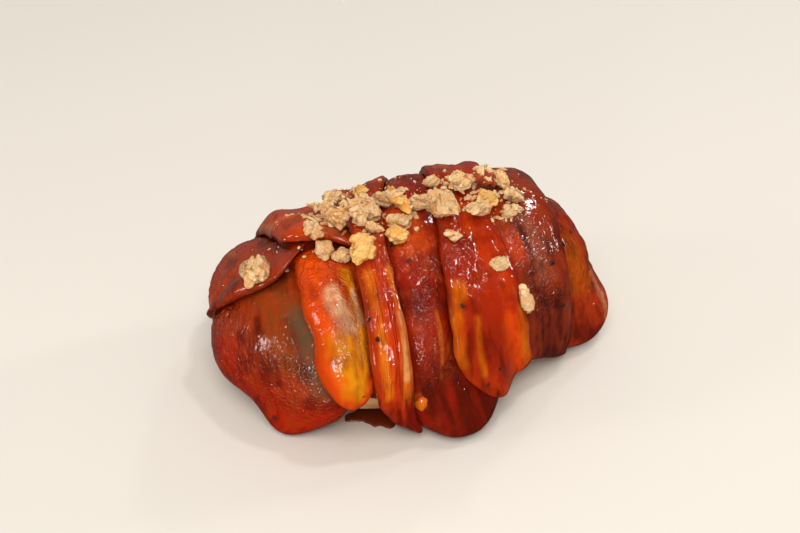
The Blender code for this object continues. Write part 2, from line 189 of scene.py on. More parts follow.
# %% [markdown]
# ## The roll's own coordinates
# A place on the roll is (u, phi): u runs along a spine inside the roll and phi turns around it, 0 at
# the top and 90 at the front. The same formulas made the solids, so a surface that is worked out here
# lies exactly on its solid. The other way would be to subdivide the solids, but their facets would stay
# visible in the gloss.

# %% Roll shape
STATIONS = np.array([
    [-64, 22, 32, 24.5], [-56, 29.5, 35, 34], [-48, 36, 34.5, 40.5], [-38, 41, 32, 44], [-28, 45, 32, 48.5],
    [-15, 47, 32, 52.5], [0, 47.5, 32, 54.5], [15, 45, 31, 55.5], [28, 38, 29, 55.5], [38, 31, 27, 52],
    [48, 27, 24, 46.5], [56, 25, 21, 42], [66, 22, 17, 34],
], float)
ROLL_MIDDLE_X, ROLL_HALF_LENGTH, WIDEST_AT = 0.8, 61.8, 0.46
SPINE_LEFT, SPINE_RIGHT, SPINE_Z = -30.0, 34.0, 24.0
LEFT_BACK, LEFT_DOWN = 10.0, 9.0
FAN = 28.0
POLE = FAN * np.pi / 2
WRAP = 5.0                 # thickness of the rashers that the fillet's radius leaves room for
MEAN_RADIUS = 45.0
MM_PER_DEGREE = 0.785      # around the roll, at the mean radius
FAR = 110.0                # farther from the spine than any surface
UPPER_POWER, LOWER_POWER = 2.2, 4.0
SHIFT = np.array([SHIFT_X, SHIFT_Y, 0.0])


def smooth(value, low, high):
    """3s^2 - 2s^3 of the share s of the way from low to high."""
    share = np.clip((value - low) / (high - low), 0, 1)
    return share * share * (3 - 2 * share)


def roll_value(point):
    """Superellipse sections that shrink to both ends: the sum of two powers is 1 on the wrapped roll.
    Low down, the powers make the right end blunter and the left end rounder."""
    x, y, z = point[..., 0], point[..., 1], point[..., 2]
    front, back, height = (np.interp(x, STATIONS[:, 0], STATIONS[:, k]) for k in (1, 2, 3))
    middle = WIDEST_AT * height
    across = np.abs(y / np.where(y < 0, front, back))
    above = np.abs((z - middle) / (height - middle))
    below = np.abs((z - middle) / (middle + 1))
    upper = (across ** UPPER_POWER + above ** UPPER_POWER) ** (1 / UPPER_POWER)
    lower = (across ** LOWER_POWER + below ** LOWER_POWER) ** (1 / LOWER_POWER)
    section = np.where(z > middle, upper, lower)
    along = np.abs((x - ROLL_MIDDLE_X) / ROLL_HALF_LENGTH)
    low = smooth(-z, -24, -6)
    right = smooth(x, -20, 30)
    along_power = 5 + low * (8 * right - 2.8)
    section_power = 3 + 2 * low * right - 0.5 * low * (1 - right)
    return along ** along_power + section ** section_power


def rays(u, phi):
    """Start on the spine and unit direction. Past the spine's ends it leans by (u - end) / FAN radians."""
    turn = np.radians(phi)
    start_x = np.clip(u, SPINE_LEFT, SPINE_RIGHT)
    lean = (u - start_x) / FAN
    aside = smooth(-start_x, 0, -SPINE_LEFT)
    start = np.stack([start_x, LEFT_BACK * aside, SPINE_Z - LEFT_DOWN * aside], -1)
    direction = np.stack([np.sin(lean), -np.sin(turn) * np.cos(lean), np.cos(turn) * np.cos(lean)], -1)
    return start, direction


def roll_radius(u, phi):
    """Distance along the ray to the wrapped roll's surface, found by halving 30 times."""
    start, direction = rays(u, phi)
    near, far = np.zeros(u.shape), np.full(u.shape, FAR)
    for _ in range(30):
        middle = (near + far) / 2
        within = roll_value(start + direction * middle[..., None]) < 1
        near, far = np.where(within, middle, near), np.where(within, far, middle)
    return near


def fillet_radius(u, phi):
    """The roll's radius less the wrapping, which thins out underneath, cut flat by the floor z = 0."""
    lean = (u - np.clip(u, SPINE_LEFT, SPINE_RIGHT)) / FAN
    under = smooth(np.abs(phi), 118, 150) * np.clip(np.cos(lean), 0, 1)
    start, direction = rays(u, phi)
    down = -direction[..., 2]
    floor = np.where(down > 0.05, start[..., 2] / np.maximum(down, 0.05), 1e3)
    return np.minimum(roll_radius(u, phi) - WRAP * (1 - under), floor)


def to_points(u, phi, radius):
    """Start + direction x radius, in mm, moved to stand over the row's origin."""
    start, direction = rays(u, phi)
    return start + direction * radius[..., None] + SHIFT


print("roll height at u = 0:", round(float(SPINE_Z + roll_radius(np.zeros(1), np.zeros(1))[0]), 1), "mm")

# %% [markdown]
# ## Rashers, laid one over the other
# A rasher lies on whatever was laid before it. The outer surface of all that is laid so far is kept as
# a raster of radii. Each rasher takes its bed from that raster, grows to its own thickness and adds
# itself to it. The table gives the edges, the ends and the part that shows, and is the same as for the
# solids.

# %% Rasher table
EDGE, THIN = 1.3, 1.6      # thickness at the rim and where a rasher is covered, in mm
GAP, FLOOR_GAP = 0.5, 0.4  # between rashers, and above the floor
EASE = 2.5                 # reach over which a bed is made smooth
ROUNDING = 7.0             # degrees by which the corners of an end draw back
KNOTS = (-120, -60, -15, 20, 50, 75, 95, 118)     # phi of the edges' values
Rasher = namedtuple("Rasher", "node left right crown_left crown_right back front seen_from crown bulge")
RASHERS = (
    Rasher("bacon_rasher_1",
           (-60, -60, -64, -69, -70, -69, -66, -60), (-29, -29, -29, -29, -29, -29, -31, -37),
           (-73, -73, -73, -73, -74, -74, -73, -70), (-34, -34, -34, -34.5, -36, -35, -33, -36),
           (14, 10, 8), (103, 119, 112), 30, 5.0, (-37.5, 114, 12.0, 9, 14)),
    Rasher("bacon_rasher_4",
           (3, 1, -8, -14.5, -17.5, -18.5, -18.5, -14), (26, 24, 17, 12.5, 7.5, 5, 14, 20),
           (12, 10, -1, -7.5, -10.7, -11.5, -11, -8), (17, 15, 10, 6, 0.2, -1.5, 14, 21),
           (-121, -124, -121), (117, 118, 118), -999, 5.0, (3, 115, 10.4, 13, 12)),
    Rasher("bacon_rasher_8",
           (45, 43, 41, 39, 38, 38, 38, 38), (68, 70, 71, 71.5, 71.5, 71.5, 71, 68),
           (56, 55, 52, 50, 47, 47.4, 47.3, 45), (74, 75, 76, 77, 77, 77, 76, 74),
           (-118, -122, -118), (134, 137, 134), -999, 5.0, (56, 124, 2.6, 12, 14)),
    Rasher("bacon_rasher_2",
           (-34, -34, -34, -33.5, -34.5, -33.3, -31, -30), (-14, -14, -15, -16, -18.5, -20.5, -22, -22),
           (-35.5, -35.5, -35.5, -35, -36, -35, -32.5, -31.5), (-19, -19, -20, -21, -23.5, -26.5, -26.5, -25),
           (14, 12, 10), (88, 90, 86), 28, 5.2, (-30, 60, 0.6, 8, 30)),
    Rasher("bacon_rasher_3",
           (-66, -70, -71, -71, -71, -71, -71, -71), (-31, -31, -30, -30, -30, -30, -30, -30),
           (-73, -75, -76, -76, -76, -76, -76, -76), (-42, -41, -40.5, -38.5, -36, -36, -36, -36),
           (-114, -118, -114), (26, 39, 29), -999, 4.4, (-52, 0, 0.6, 10, 20)),
    Rasher("bacon_rasher_5",
           (-40, -39, -38.5, -36.5, -34, -34, -34, -34), (-11, -10, -14, -17, -19, -19, -19, -19),
           (-41, -40, -39.5, -37.5, -35, -35, -35, -35), (-16, -15, -19.5, -21, -22, -22, -22, -22),
           (-119, -122, -119), (29, 28, 36), -999, 4.4, (-27, 10, 0.5, 8, 14)),
    Rasher("bacon_rasher_7",
           (34, 32, 25, 17.5, 18.5, 20, 22, 25), (54, 53, 50, 48, 45, 45.4, 45.3, 43),
           (41, 39, 32, 24.5, 25, 26.5, 29, 31), (55.5, 54.5, 51.5, 49.5, 46.5, 47, 47, 44.5),
           (-119, -122, -119), (106, 116, 133), -999, 4.8, (37, 60, 0.5, 6, 30)),
    Rasher("bacon_rasher_6",
           (-14, -13, -17.5, -19.7, -22.7, -25.7, -26, -22), (10, 8, -3, -9, -12.8, -13.7, -13, -8),
           (-15.5, -14.5, -19, -21.5, -24.2, -26.8, -27.5, -23.5),
           (11.5, 9.5, -1.5, -8, -11.2, -12, -11.5, -7),
           (-119, -122, -119), (78, 101, 117), -999, 3.6, (-17, 70, 0.6, 6, 26)),
    Rasher("bacon_rasher_9",
           (19, 17, 11.5, 7.2, 1.6, -2.4, -1.5, 3), (39, 37, 30, 22.5, 23.5, 25, 27.5, 30),
           (17.5, 15.5, 10, 5.7, 0.1, -3.9, -3, 1.5), (40.5, 38.5, 31.5, 24, 25, 26.5, 29, 31.5),
           (-119, -122, -119), (84, 102, 109), -999, 4.2, (14, 92, 0.6, 9, 16)),
)
print(len(RASHERS), "rashers")


# %% Laying the rashers
class Stack:
    """The outer surface of all that is laid so far, as a radius on a raster of u and phi."""

    STEP_U = 0.5
    STEP_PHI = 1.0

    def __init__(self):
        self.u = np.arange(SPINE_LEFT - POLE, SPINE_RIGHT + POLE + self.STEP_U, self.STEP_U)
        self.phi = np.arange(-180, 180, self.STEP_PHI)
        self.grid_u, self.grid_phi = np.meshgrid(self.u, self.phi, indexing="ij")
        self.top = fillet_radius(self.grid_u, self.grid_phi)

    def shifted(self, table, step_u, step_phi):
        """The table moved by whole cells, held at the ends of u and closed around phi."""
        rows = np.clip(np.arange(len(self.u)) + step_u, 0, len(self.u) - 1)
        return np.roll(table[rows], step_phi, axis=1)

    def spread(self, table, merge, reach_u, reach_phi):
        """Highest (merge=np.max) or average (np.mean) radius within the reach, first in u and then in phi."""
        table = merge([self.shifted(table, k, 0) for k in range(-reach_u, reach_u + 1)], axis=0)
        return merge([self.shifted(table, 0, k) for k in range(-reach_phi, reach_phi + 1)], axis=0)

    def bed(self):
        """A smooth surface that touches or clears the stack everywhere."""
        reach_u = round(EASE / self.STEP_U)
        reach_phi = round(np.degrees(EASE / MEAN_RADIUS) / self.STEP_PHI)
        return self.spread(self.spread(self.top, np.max, reach_u, reach_phi), np.mean, reach_u, reach_phi)

    def sample(self, table, u, phi):
        """Bilinear reading between the raster's cells."""
        across = np.clip((u - self.u[0]) / self.STEP_U, 0, len(self.u) - 1.001)
        around = ((phi + 180) / self.STEP_PHI) % len(self.phi)
        i, j = across.astype(int), around.astype(int) % len(self.phi)
        a, b = across - i, around - np.floor(around)
        k = (j + 1) % len(self.phi)
        return ((1 - a) * (1 - b) * table[i, j] + a * (1 - b) * table[i + 1, j]
                + (1 - a) * b * table[i, k] + a * b * table[i + 1, k])


def edge_at(values, phi):
    """An edge's u at each phi: straight between the knots, then averaged over 16 degrees."""
    return np.mean([np.interp(phi + k, KNOTS, values) for k in (-8, -4, 0, 4, 8)], axis=0)


def end_at(values, side, inwards):
    """An end's phi across the rasher: a parabola through three values, its corners rounded by side^6."""
    left, middle, right = values
    line = middle + side * (right - left) / 2 + side ** 2 * ((left + right) / 2 - middle)
    return line + inwards * ROUNDING * side ** 6


def ends(rasher, side):
    """phi of the back end and of the front end at each side."""
    return end_at(rasher.back, side, 1), end_at(rasher.front, side, -1)


def thickness(rasher, u, phi, side, share, crown_power=2.4, grow=0.0):
    """Rim + (body - rim) x sqrt(rim shape). The body is a crown where it shows and thin below its neighbours.
    grow is the width in mm that the crown gains on both sides."""
    low, high = edge_at(rasher.crown_left, phi) - grow, edge_at(rasher.crown_right, phi) + grow
    swell = np.sqrt(np.clip(1 - np.abs((2 * u - low - high) / (high - low)) ** crown_power, 0, 1))
    bulge_u, bulge_phi, extra, reach_u, reach_phi = rasher.bulge
    bulge = extra * np.exp(-np.abs((u - bulge_u) / reach_u) ** 3 - ((phi - bulge_phi) / reach_phi) ** 2)
    seen = smooth(phi, rasher.seen_from - 8, rasher.seen_from + 6)
    body = THIN + (rasher.crown - THIN + bulge) * swell * seen
    rim = (1 - np.abs(side) ** 5) * (1 - np.abs(2 * share - 1) ** 22)
    return EDGE + (body - EDGE) * np.sqrt(np.clip(rim, 0, 1))


def lay_rasher(stack, rasher):
    """Adds one rasher to the stack and returns the bed it lies on."""
    bed = stack.bed() + GAP
    u, phi = stack.grid_u, stack.grid_phi
    left, right = edge_at(rasher.left, phi), edge_at(rasher.right, phi)
    side = (2 * u - left - right) / (right - left)
    inside_side = np.clip(side, -1, 1)
    start, end = ends(rasher, inside_side)
    share = (phi - start) / (end - start)
    covered = (np.abs(side) <= 1) & (share >= 0) & (share <= 1)
    outer = bed + thickness(rasher, u, phi, inside_side, np.clip(share, 0, 1))
    stack.top = np.where(covered, np.maximum(stack.top, outer), stack.top)
    return bed


stack = Stack()
beds = {rasher.node: lay_rasher(stack, rasher) for rasher in RASHERS}
print("highest point of the stack:", round(float(stack.top.max()), 1), "mm from the spine")

# %% [markdown]
# ## Noise for uneven food
# Cooked meat has no plain surface. Noise gives folds, ridges and blotches: random numbers sit on the
# corners of a grid of cubes and are blended smoothly in between. Several layers, each half as large and
# half as strong, look more natural than one. The numbers come from a hash of the corner, so each run
# gives the same food.


# %% Noise
def corner_value(i, j, k, seed):
    """A fixed random number from -1 to 1 for each corner, from an integer hash."""
    mixed = (i * 73856093) ^ (j * 19349663) ^ (k * 83492791) ^ (seed * 6151 + 977)
    mixed = (mixed ^ (mixed >> 13)) * 1274126177
    mixed = (mixed ^ (mixed >> 15)) * 668265263
    return ((mixed >> 8) & 0xFFFF) / 32767.5 - 1


def waves(points, size, seed, layers=2):
    """Blended corner values: weights 3t^2 - 2t^3 in each cube, layers halved in size and strength."""
    total = np.zeros(points.shape[:-1])
    strength = 1.0
    for layer in range(layers):
        place = points / size * 2 ** layer + 11.7 * layer
        cell = np.floor(place).astype(np.int64)
        t = place - cell
        t = t * t * (3 - 2 * t)
        value = np.zeros(total.shape)
        for corner in np.ndindex(2, 2, 2):
            weight = np.prod([t[..., a] if corner[a] else 1 - t[..., a] for a in range(3)], axis=0)
            value += weight * corner_value(*(cell[..., a] + corner[a] for a in range(3)), seed + layer)
        total += strength * value
        strength /= 2
    return total


def ridges(points, size, seed, sharpness=3.0):
    """(1 - |waves|)^sharpness: thin crests where the noise crosses zero, like wrinkled skin."""
    return np.clip(1 - np.abs(waves(points, size, seed, 1)) * 1.6, 0, 1) ** sharpness


def flat_map(u, phi, seed):
    """The roll's skin laid out flat, in mm, with a third coordinate that differs for each rasher."""
    return np.stack([u, phi * MM_PER_DEGREE, np.full(u.shape, 17.3 * seed)], -1)


def soften(table, passes=3):
    """Averages each value with its four neighbours, passes times, the edges kept."""
    for _ in range(passes):
        inner = table[1:-1, 1:-1]
        beside = table[:-2, 1:-1] + table[2:, 1:-1] + table[1:-1, :-2] + table[1:-1, 2:]
        table = table.copy()
        table[1:-1, 1:-1] = inner * 0.4 + beside * 0.15
    return table


# %% [markdown]
# ## Streaks and patches
# Bacon is striped: lean is deep red, fat is golden to white, and the sauce makes the lower edges glow
# orange. Some streaks are painted light: dark ones along the edges of the rashers on top are painted
# shade in the creases, and pale ones are in places painted sheen. Each streak is a path on the roll with
# a width. A point's mask falls off with its distance from the path, and noise frays the rim. The masks
# are stored on the vertices, so they follow the meat.

# %% Streak table
Streak = namedtuple("Streak", "kind path width strength")
KINDS = ("fat", "pale", "olive", "dark", "bright", "web", "long", "grain")
STREAKS = {
    "bacon_rasher_1": (
        Streak("olive", ((-42, 32), (-41, 45), (-39.5, 58), (-38, 68)), 7.0, 0.6),
        Streak("pale", ((-36, 54), (-35, 66), (-34.5, 80)), 3.2, 1.0),
        Streak("olive", ((-34.5, 62), (-34, 82)), 3.4, 0.5),
        Streak("dark", ((-39, 56), (-38, 66), (-37, 76)), 1.6, 0.4),
        Streak("bright", ((-60, 70), (-53, 84), (-46, 98), (-38, 106), (-33, 98)), 13.0, 0.9),
        Streak("pale", ((-66, 34), (-65, 48), (-63, 62)), 2.5, 0.4),
        # painted shadow: a dark band just below the front end of the left end rasher, which lies on top
        Streak("dark", ((-64, 30), (-52, 36), (-42, 32), (-34, 26)), 4.0, 0.6),
        Streak("dark", ((-45, 52), (-44.5, 66), (-42, 80)), 1.6, 0.6),
        Streak("long", ((-60, 40), (-55, 60), (-49, 78)), 13.0, 1.0),
        Streak("web", ((-56, 72), (-50, 80), (-44, 86), (-38, 88)), 6.5, 0.9),
        Streak("web", ((-59, 44), (-55, 60), (-50, 74)), 8.0, 0.75),
        Streak("grain", ((-40, 70), (-38, 84)), 5.0, 1.0),
    ),
    "bacon_rasher_2": (
        Streak("bright", ((-32, 26), (-33.5, 45), (-34.8, 60), (-33.6, 76), (-30, 85), (-26, 84), (-24, 76)),
               3.8, 1.3),
        # partly pale fat and partly painted sheen: a white-grey patch where the glaze reflects the light
        Streak("pale", ((-30, 48), (-29.6, 54), (-28.6, 60)), 2.3, 1.3),
        Streak("olive", ((-27.5, 54), (-27, 62), (-27.5, 70)), 2.0, 0.7),
        Streak("fat", ((-30.5, 64), (-29.5, 72), (-28.4, 79)), 3.4, 1.3),
        Streak("fat", ((-24.5, 42), (-24.5, 52), (-25.2, 64), (-26.5, 74)), 2.2, 1.0),
        Streak("pale", ((-24.5, 50), (-25, 60)), 1.2, 0.9),
        # painted shade in the crease along the left edge of the narrow rasher, which lies on top
        Streak("dark", ((-21, 34), (-22.5, 48), (-24, 62), (-25, 76)), 1.5, 0.9),
        Streak("grain", ((-29, 50), (-28, 68)), 5.0, 1.0),
        Streak("web", ((-31, 34), (-29, 46)), 7.0, 0.9),
    ),
    "bacon_rasher_3": (
        Streak("dark", ((-34, 22), (-38, 12), (-37, -6), (-40, -30)), 5.0, 0.8),
        Streak("bright", ((-60, 8), (-56, 16), (-50, 20)), 8.0, 0.6),
        Streak("pale", ((-72, -50), (-70, -20), (-70, 4), (-70, 26)), 5.0, 1.3),
        Streak("dark", ((-61, 34), (-52, 32), (-44, 30)), 3.5, 0.6),
        Streak("dark", ((-66, 20), (-60, 30)), 3.5, 0.5),
        Streak("long", ((-60, -10), (-56, 30)), 9.0, 0.5),
        Streak("web", ((-58, 14), (-40, 16)), 6.0, 0.6),
    ),
    "bacon_rasher_4": (
        Streak("bright", ((-4, 10), (-5, 26), (-4, 36)), 7.0, 0.9),
        Streak("pale", ((-4, 40), (-1, 50)), 4.0, 0.35),
        Streak("dark", ((-8, 60), (-1, 58), (2, 64)), 5.0, 0.7),
        Streak("dark", ((-9, 88), (-4, 98), (4, 104), (14, 104)), 11.0, 0.9),
        Streak("bright", ((-2, 116), (4, 118), (12, 117)), 3.5, 0.6),
        Streak("dark", ((-0.5, 62), (0, 74), (0, 84)), 2.6, 1.0),
        Streak("olive", ((-1, 78), (-3, 88)), 3.5, 0.7),
        Streak("fat", ((-4.0, 64), (-4.4, 78), (-5, 88)), 0.8, 0.7),
        Streak("pale", ((-7.5, 64), (-7.5, 76), (-7.5, 86)), 3.4, 0.45),
        Streak("fat", ((-11.5, 92), (-10, 97)), 2.0, 1.0),
        Streak("web", ((-6, 28), (-4, 42), (-3.5, 50)), 8.0, 1.0),
        Streak("web", ((-3, 82), (2, 96)), 3.5, 0.4),
        Streak("grain", ((-7, 62), (-7.5, 74), (-7, 86)), 6.0, 1.0),
    ),
    "bacon_rasher_5": (
        Streak("bright", ((-34, 4), (-28, 14), (-24, 24)), 9.0, 0.9),
        Streak("pale", ((-39, -34), (-39, -18), (-37, 0)), 2.6, 0.75),
        Streak("dark", ((-22, -10), (-22, 8)), 4.0, 0.5),
        Streak("web", ((-36, 4), (-28, 16)), 7.0, 0.6),
    ),
    "bacon_rasher_6": (
        Streak("fat", ((-13.5, 46), (-14.5, 60), (-15.2, 74), (-15.4, 88)), 1.9, 1.0),
        Streak("pale", ((-15, 60), (-15.6, 72), (-15.6, 80)), 1.2, 0.9),
        Streak("fat", ((-20, 46), (-21, 58), (-21.4, 72), (-21, 84)), 2.0, 0.9),
        Streak("bright", ((-17.5, 40), (-18, 66), (-18, 88)), 3.0, 0.8),
        Streak("dark", ((-16, 92), (-14, 100), (-10, 108)), 6.0, 0.9),
        Streak("dark", ((-12, 34), (-12, 52)), 1.8, 0.6),
        Streak("long", ((-17, 40), (-18, 80)), 6.0, 0.9),
        Streak("web", ((-16, 30), (-17, 50)), 5.0, 0.7),
    ),
    "bacon_rasher_7": (
        Streak("bright", ((25, 14), (26, 30), (26.5, 42), (26.5, 50)), 3.4, 1.1),
        # painted sheen: pinkish pale where the glaze reflects the sky
        Streak("pale", ((31, 30), (34, 48), (34, 64)), 4.0, 0.55),
        Streak("dark", ((33, 78), (35, 94), (40, 112)), 9.0, 0.8),
        Streak("dark", ((30, 34), (31, 48), (30, 60)), 1.6, 0.9),
        Streak("pale", ((42, 84), (43, 96)), 2.4, 0.4),
        Streak("web", ((33, 40), (33, 60), (33, 80)), 7.0, 1.0),
        Streak("web", ((27, 30), (28, 56)), 4.0, 0.8),
    ),
    "bacon_rasher_8": (
        Streak("olive", ((50, 50), (52, 68), (53, 86)), 9.0, 1.0),
        Streak("bright", ((53, 100), (57, 116), (58, 128)), 8.0, 0.6),
        Streak("dark", ((44, 96), (48, 112), (50, 126)), 5.0, 0.9),
        Streak("pale", ((65, 40), (63.5, 70), (62, 95), (59.5, 115), (57, 128)), 1.9, 1.2),
        Streak("long", ((52, 40), (54, 100)), 10.0, 0.5),
        Streak("web", ((58, 96), (60, 120)), 6.0, 0.6),
    ),
    "bacon_rasher_9": (
        Streak("fat", ((4, 58), (0.5, 66), (-0.5, 74), (0.5, 82)), 2.8, 0.9),
        Streak("fat", ((7.5, 70), (6.5, 80), (7, 88)), 1.7, 0.9),
        Streak("bright", ((1, 82), (5, 92), (12, 100), (19, 106)), 5.0, 0.7),
        Streak("fat", ((22.5, 72), (23.5, 86), (25.5, 98)), 2.8, 0.8),
        Streak("pale", ((25, 76), (26, 90), (28, 100)), 1.0, 0.9),
        Streak("bright", ((15, 20), (14, 32), (15, 44), (20, 62)), 2.6, 0.45),
        Streak("dark", ((3, 78), (6, 92), (12, 98)), 2.2, 0.7),
        Streak("dark", ((14, 76), (16, 94)), 5.0, 0.4),
        Streak("pale", ((17, 96), (19, 106)), 4.0, 0.3),
        Streak("bright", ((18.5, 74), (20.5, 90), (22.5, 102)), 3.6, 1.2),
        Streak("web", ((8, 38), (9, 48), (9, 56)), 5.5, 0.8),
    ),
}


def distance_to_path(u, phi, path):
    """Shortest distance in mm to a chain of straight pieces on the flat map."""
    here = np.stack([u, phi * MM_PER_DEGREE], -1)
    corners = np.array(path, float) * (1.0, MM_PER_DEGREE)
    nearest = np.full(u.shape, 1e3)
    for a, b in zip(corners[:-1], corners[1:]):
        along = np.clip(((here - a) @ (b - a)) / ((b - a) @ (b - a)), 0, 1)
        nearest = np.minimum(nearest, np.linalg.norm(here - a - along[..., None] * (b - a), axis=-1))
    return nearest


def streak_masks(node, u, phi, seed):
    """For each kind, the strongest streak: strength x fall-off of the frayed distance over the width."""
    masks = {kind: np.zeros(u.shape) for kind in KINDS}
    fray = waves(flat_map(u, phi * 0.45, seed), 2.6, seed + 40, 3)
    for streak in STREAKS[node]:
        distance = distance_to_path(u, phi, streak.path) + fray * 0.28 * streak.width
        mask = streak.strength * (1 - smooth(distance, streak.width * 0.15, streak.width * 1.25))
        masks[streak.kind] = np.maximum(masks[streak.kind], mask)
    return masks


def far_side_masks(masks, side, phi, seed):
    """Behind the ridge, where no streak is placed, stripes of noise run along the rasher: fat where it is
    high and bright where it is low."""
    hidden = smooth(-phi, 5, 35)
    place = np.stack([side * 3.2, phi * 0.012, np.full(side.shape, 3.1 * seed)], -1)
    stripe = waves(place, 1.0, seed + 70, 2)
    masks["fat"] = np.maximum(masks["fat"], hidden * smooth(stripe, 0.25, 0.75) * 0.8)
    masks["bright"] = np.maximum(masks["bright"], hidden * smooth(-stripe, 0.1, 0.7) * 0.6)
    masks["web"] = np.maximum(masks["web"], hidden * 0.5)
    masks["long"] = np.maximum(masks["long"], hidden * 0.5)
    return masks


print(sum(len(streaks) for streaks in STREAKS.values()), "streaks on", len(STREAKS), "rashers")

# %% [markdown]
# ## Turning grids into meshes
# Every new piece is a grid of points. A slab is two grids that share their rim, so that it is closed. A
# round body is one grid whose last column meets the first and whose ends are single poles. The arrays
# go into Blender whole, which is far quicker than adding vertices one by one.


# %% Mesh helpers
def quads_of(index):
    """Four corners for each cell of a table of vertex numbers."""
    return np.stack([index[:-1, :-1], index[1:, :-1], index[1:, 1:], index[:-1, 1:]], -1).reshape(-1, 4)


def signed_volume(points, quads):
    """Sum over the quads' two triangles of a . (b x c) / 6."""
    a, b, c, d = (points[quads[:, k]] for k in range(4))
    first = np.einsum("ij,ij->i", a, np.cross(b, c))
    return float((first + np.einsum("ij,ij->i", a, np.cross(c, d))).sum() / 6)


def make_piece(name, points, quads, attributes=None):
    """A smooth mesh object from points in mm and quads, faced outwards, with attributes on its vertices.
    A quad with two equal corners becomes a triangle."""
    if signed_volume(points, quads) < 0:
        quads = quads[:, ::-1]
    mesh = bpy.data.meshes.new(name)
    mesh.vertices.add(len(points))
    mesh.vertices.foreach_set("co", (points * MM).astype(np.float32).ravel())
    merged = np.stack([quads, np.roll(quads, -1, axis=1)], -1)
    keep = merged[..., 0] != merged[..., 1]
    counts = keep.sum(axis=1)
    mesh.loops.add(int(counts.sum()))
    mesh.loops.foreach_set("vertex_index", quads[keep].astype(np.int32))
    mesh.polygons.add(len(quads))
    starts = np.concatenate([[0], np.cumsum(counts)[:-1]])
    mesh.polygons.foreach_set("loop_start", starts.astype(np.int32))
    mesh.update(calc_edges=True)
    mesh.shade_smooth()
    for key, values in (attributes or {}).items():
        kind, field = ("FLOAT", "value") if values.ndim == 1 else ("FLOAT_VECTOR", "vector")
        mesh.attributes.new(key, kind, "POINT").data.foreach_set(field, values.astype(np.float32).ravel())
    piece = bpy.data.objects.new(name, mesh)
    bpy.context.scene.collection.objects.link(piece)
    return piece


def slab_quads(rows, columns):
    """Upper grid, and a lower grid that uses the upper grid's rim."""
    upper = np.arange(rows * columns).reshape(rows, columns)
    lower = upper.copy()
    lower[1:-1, 1:-1] = rows * columns + np.arange((rows - 2) * (columns - 2)).reshape(rows - 2, columns - 2)
    return np.concatenate([quads_of(upper), quads_of(lower)[:, ::-1]])


def slab_points(upper, lower):
    """The upper sheet and the inside of the lower one, kept clear of the floor."""
    points = np.concatenate([upper.reshape(-1, 3), lower[1:-1, 1:-1].reshape(-1, 3)])
    points[:, 2] = np.maximum(points[:, 2], FLOOR_GAP)
    return points


def round_quads(rows, columns):
    """Rings closed around, with a single pole vertex before the first ring and one after the last."""
    ring = 1 + np.arange(rows * columns).reshape(rows, columns)
    body = np.concatenate([np.zeros((1, columns), int), ring, np.full((1, columns), rows * columns + 1)])
    return quads_of(np.concatenate([body, body[:, :1]], axis=1))


# %% [markdown]
# ## Rasher surfaces
# Each rasher is a slab: a lower sheet on its bed and an upper sheet one thickness above. Its rim is a
# half circle in section. On the upper sheet lie long fibres, web-like wrinkles where the skin has dried
# and shrunk, grains where the sauce is coarse, and slow dents from the hands that rolled it.

# %% Rasher surfaces
FINE_STEP = 0.48     # grid step in mm
RIM = 0.62                 # radius of the rim's half circle
SINK = 0.3                 # how deep a rasher sits in its bed
EDGE_WAVE, END_WAVE = 0.7, 0.7
SIDE_CROWDING, END_CROWDING = 0.28, 0.25    # share of the grid's lines that gather towards the rims
CROWN_POWER = 3.2          # flatter on top and steeper at the sides than the solids' 2.4
CROWN_GROW = 3.0           # mm that a crown is broader on both sides, so that it meets the rasher above
TOUCH, SLOPE, BLEND = 0.25, 1.5, 0.7        # how closely and how softly it meets it
END_TRIM = {"bacon_rasher_2": 3.0}          # degrees by which the front end is shorter than the solid's
LEFT_OUT = {"bacon_rasher_2": 1.6}          # mm by which the left edge is broader than the solid's
END_THIN = {"bacon_rasher_3": 0.55}         # share of the body that is lost towards the front left corner
CORNER_SHARE, CORNER_U = (0.82, 1.0), (49, 56)    # where that corner begins and is full


def edges(rasher, phi):
    """u of the left and of the right edge at each phi."""
    return edge_at(rasher.left, phi) - LEFT_OUT.get(rasher.node, 0.0), edge_at(rasher.right, phi)


def rasher_grid(rasher, seed):
    """side from -1 to 1 and share from 0 to 1 on a grid, and the u and phi they stand for, with wavy edges.
    side = (1 - c) t + c sin(t pi / 2) crowds the lines towards the rims, and share does so with a cosine."""
    length = (rasher.front[1] - rasher.back[1]) * MM_PER_DEGREE
    width = max(b - a for a, b in zip(rasher.left, rasher.right))
    rows, columns = int(width / FINE_STEP), int(length / FINE_STEP)
    across = np.linspace(-1, 1, rows)[:, None] * np.ones(columns)
    side = (1 - SIDE_CROWDING) * across + SIDE_CROWDING * np.sin(across * np.pi / 2)
    crowded = 0.5 - 0.5 * np.cos(np.linspace(0, np.pi, columns))
    share = np.ones(rows)[:, None] * crowded * END_CROWDING
    share = share + np.linspace(0, 1, columns) * (1 - END_CROWDING)
    start, end = ends(rasher, side)
    end_wave = waves(np.stack([side * 2.5, 0 * side, 0 * side + 5.7 * seed], -1), 1.0, seed + 3, 2)
    end = end + END_WAVE * end_wave - END_TRIM.get(rasher.node, 0.0)
    phi = start + share * (end - start)
    left, right = edges(rasher, phi)
    wave_place = np.stack([phi * MM_PER_DEGREE, np.sign(side) * 40, 0 * phi + 9.1 * seed], -1)
    edge_wave = EDGE_WAVE * waves(wave_place, 7.0, seed + 5, 2) * smooth(np.abs(side), 0.4, 1.0)
    u = (left + right) / 2 + side * (right - left) / 2 + edge_wave
    return side, share, u, phi


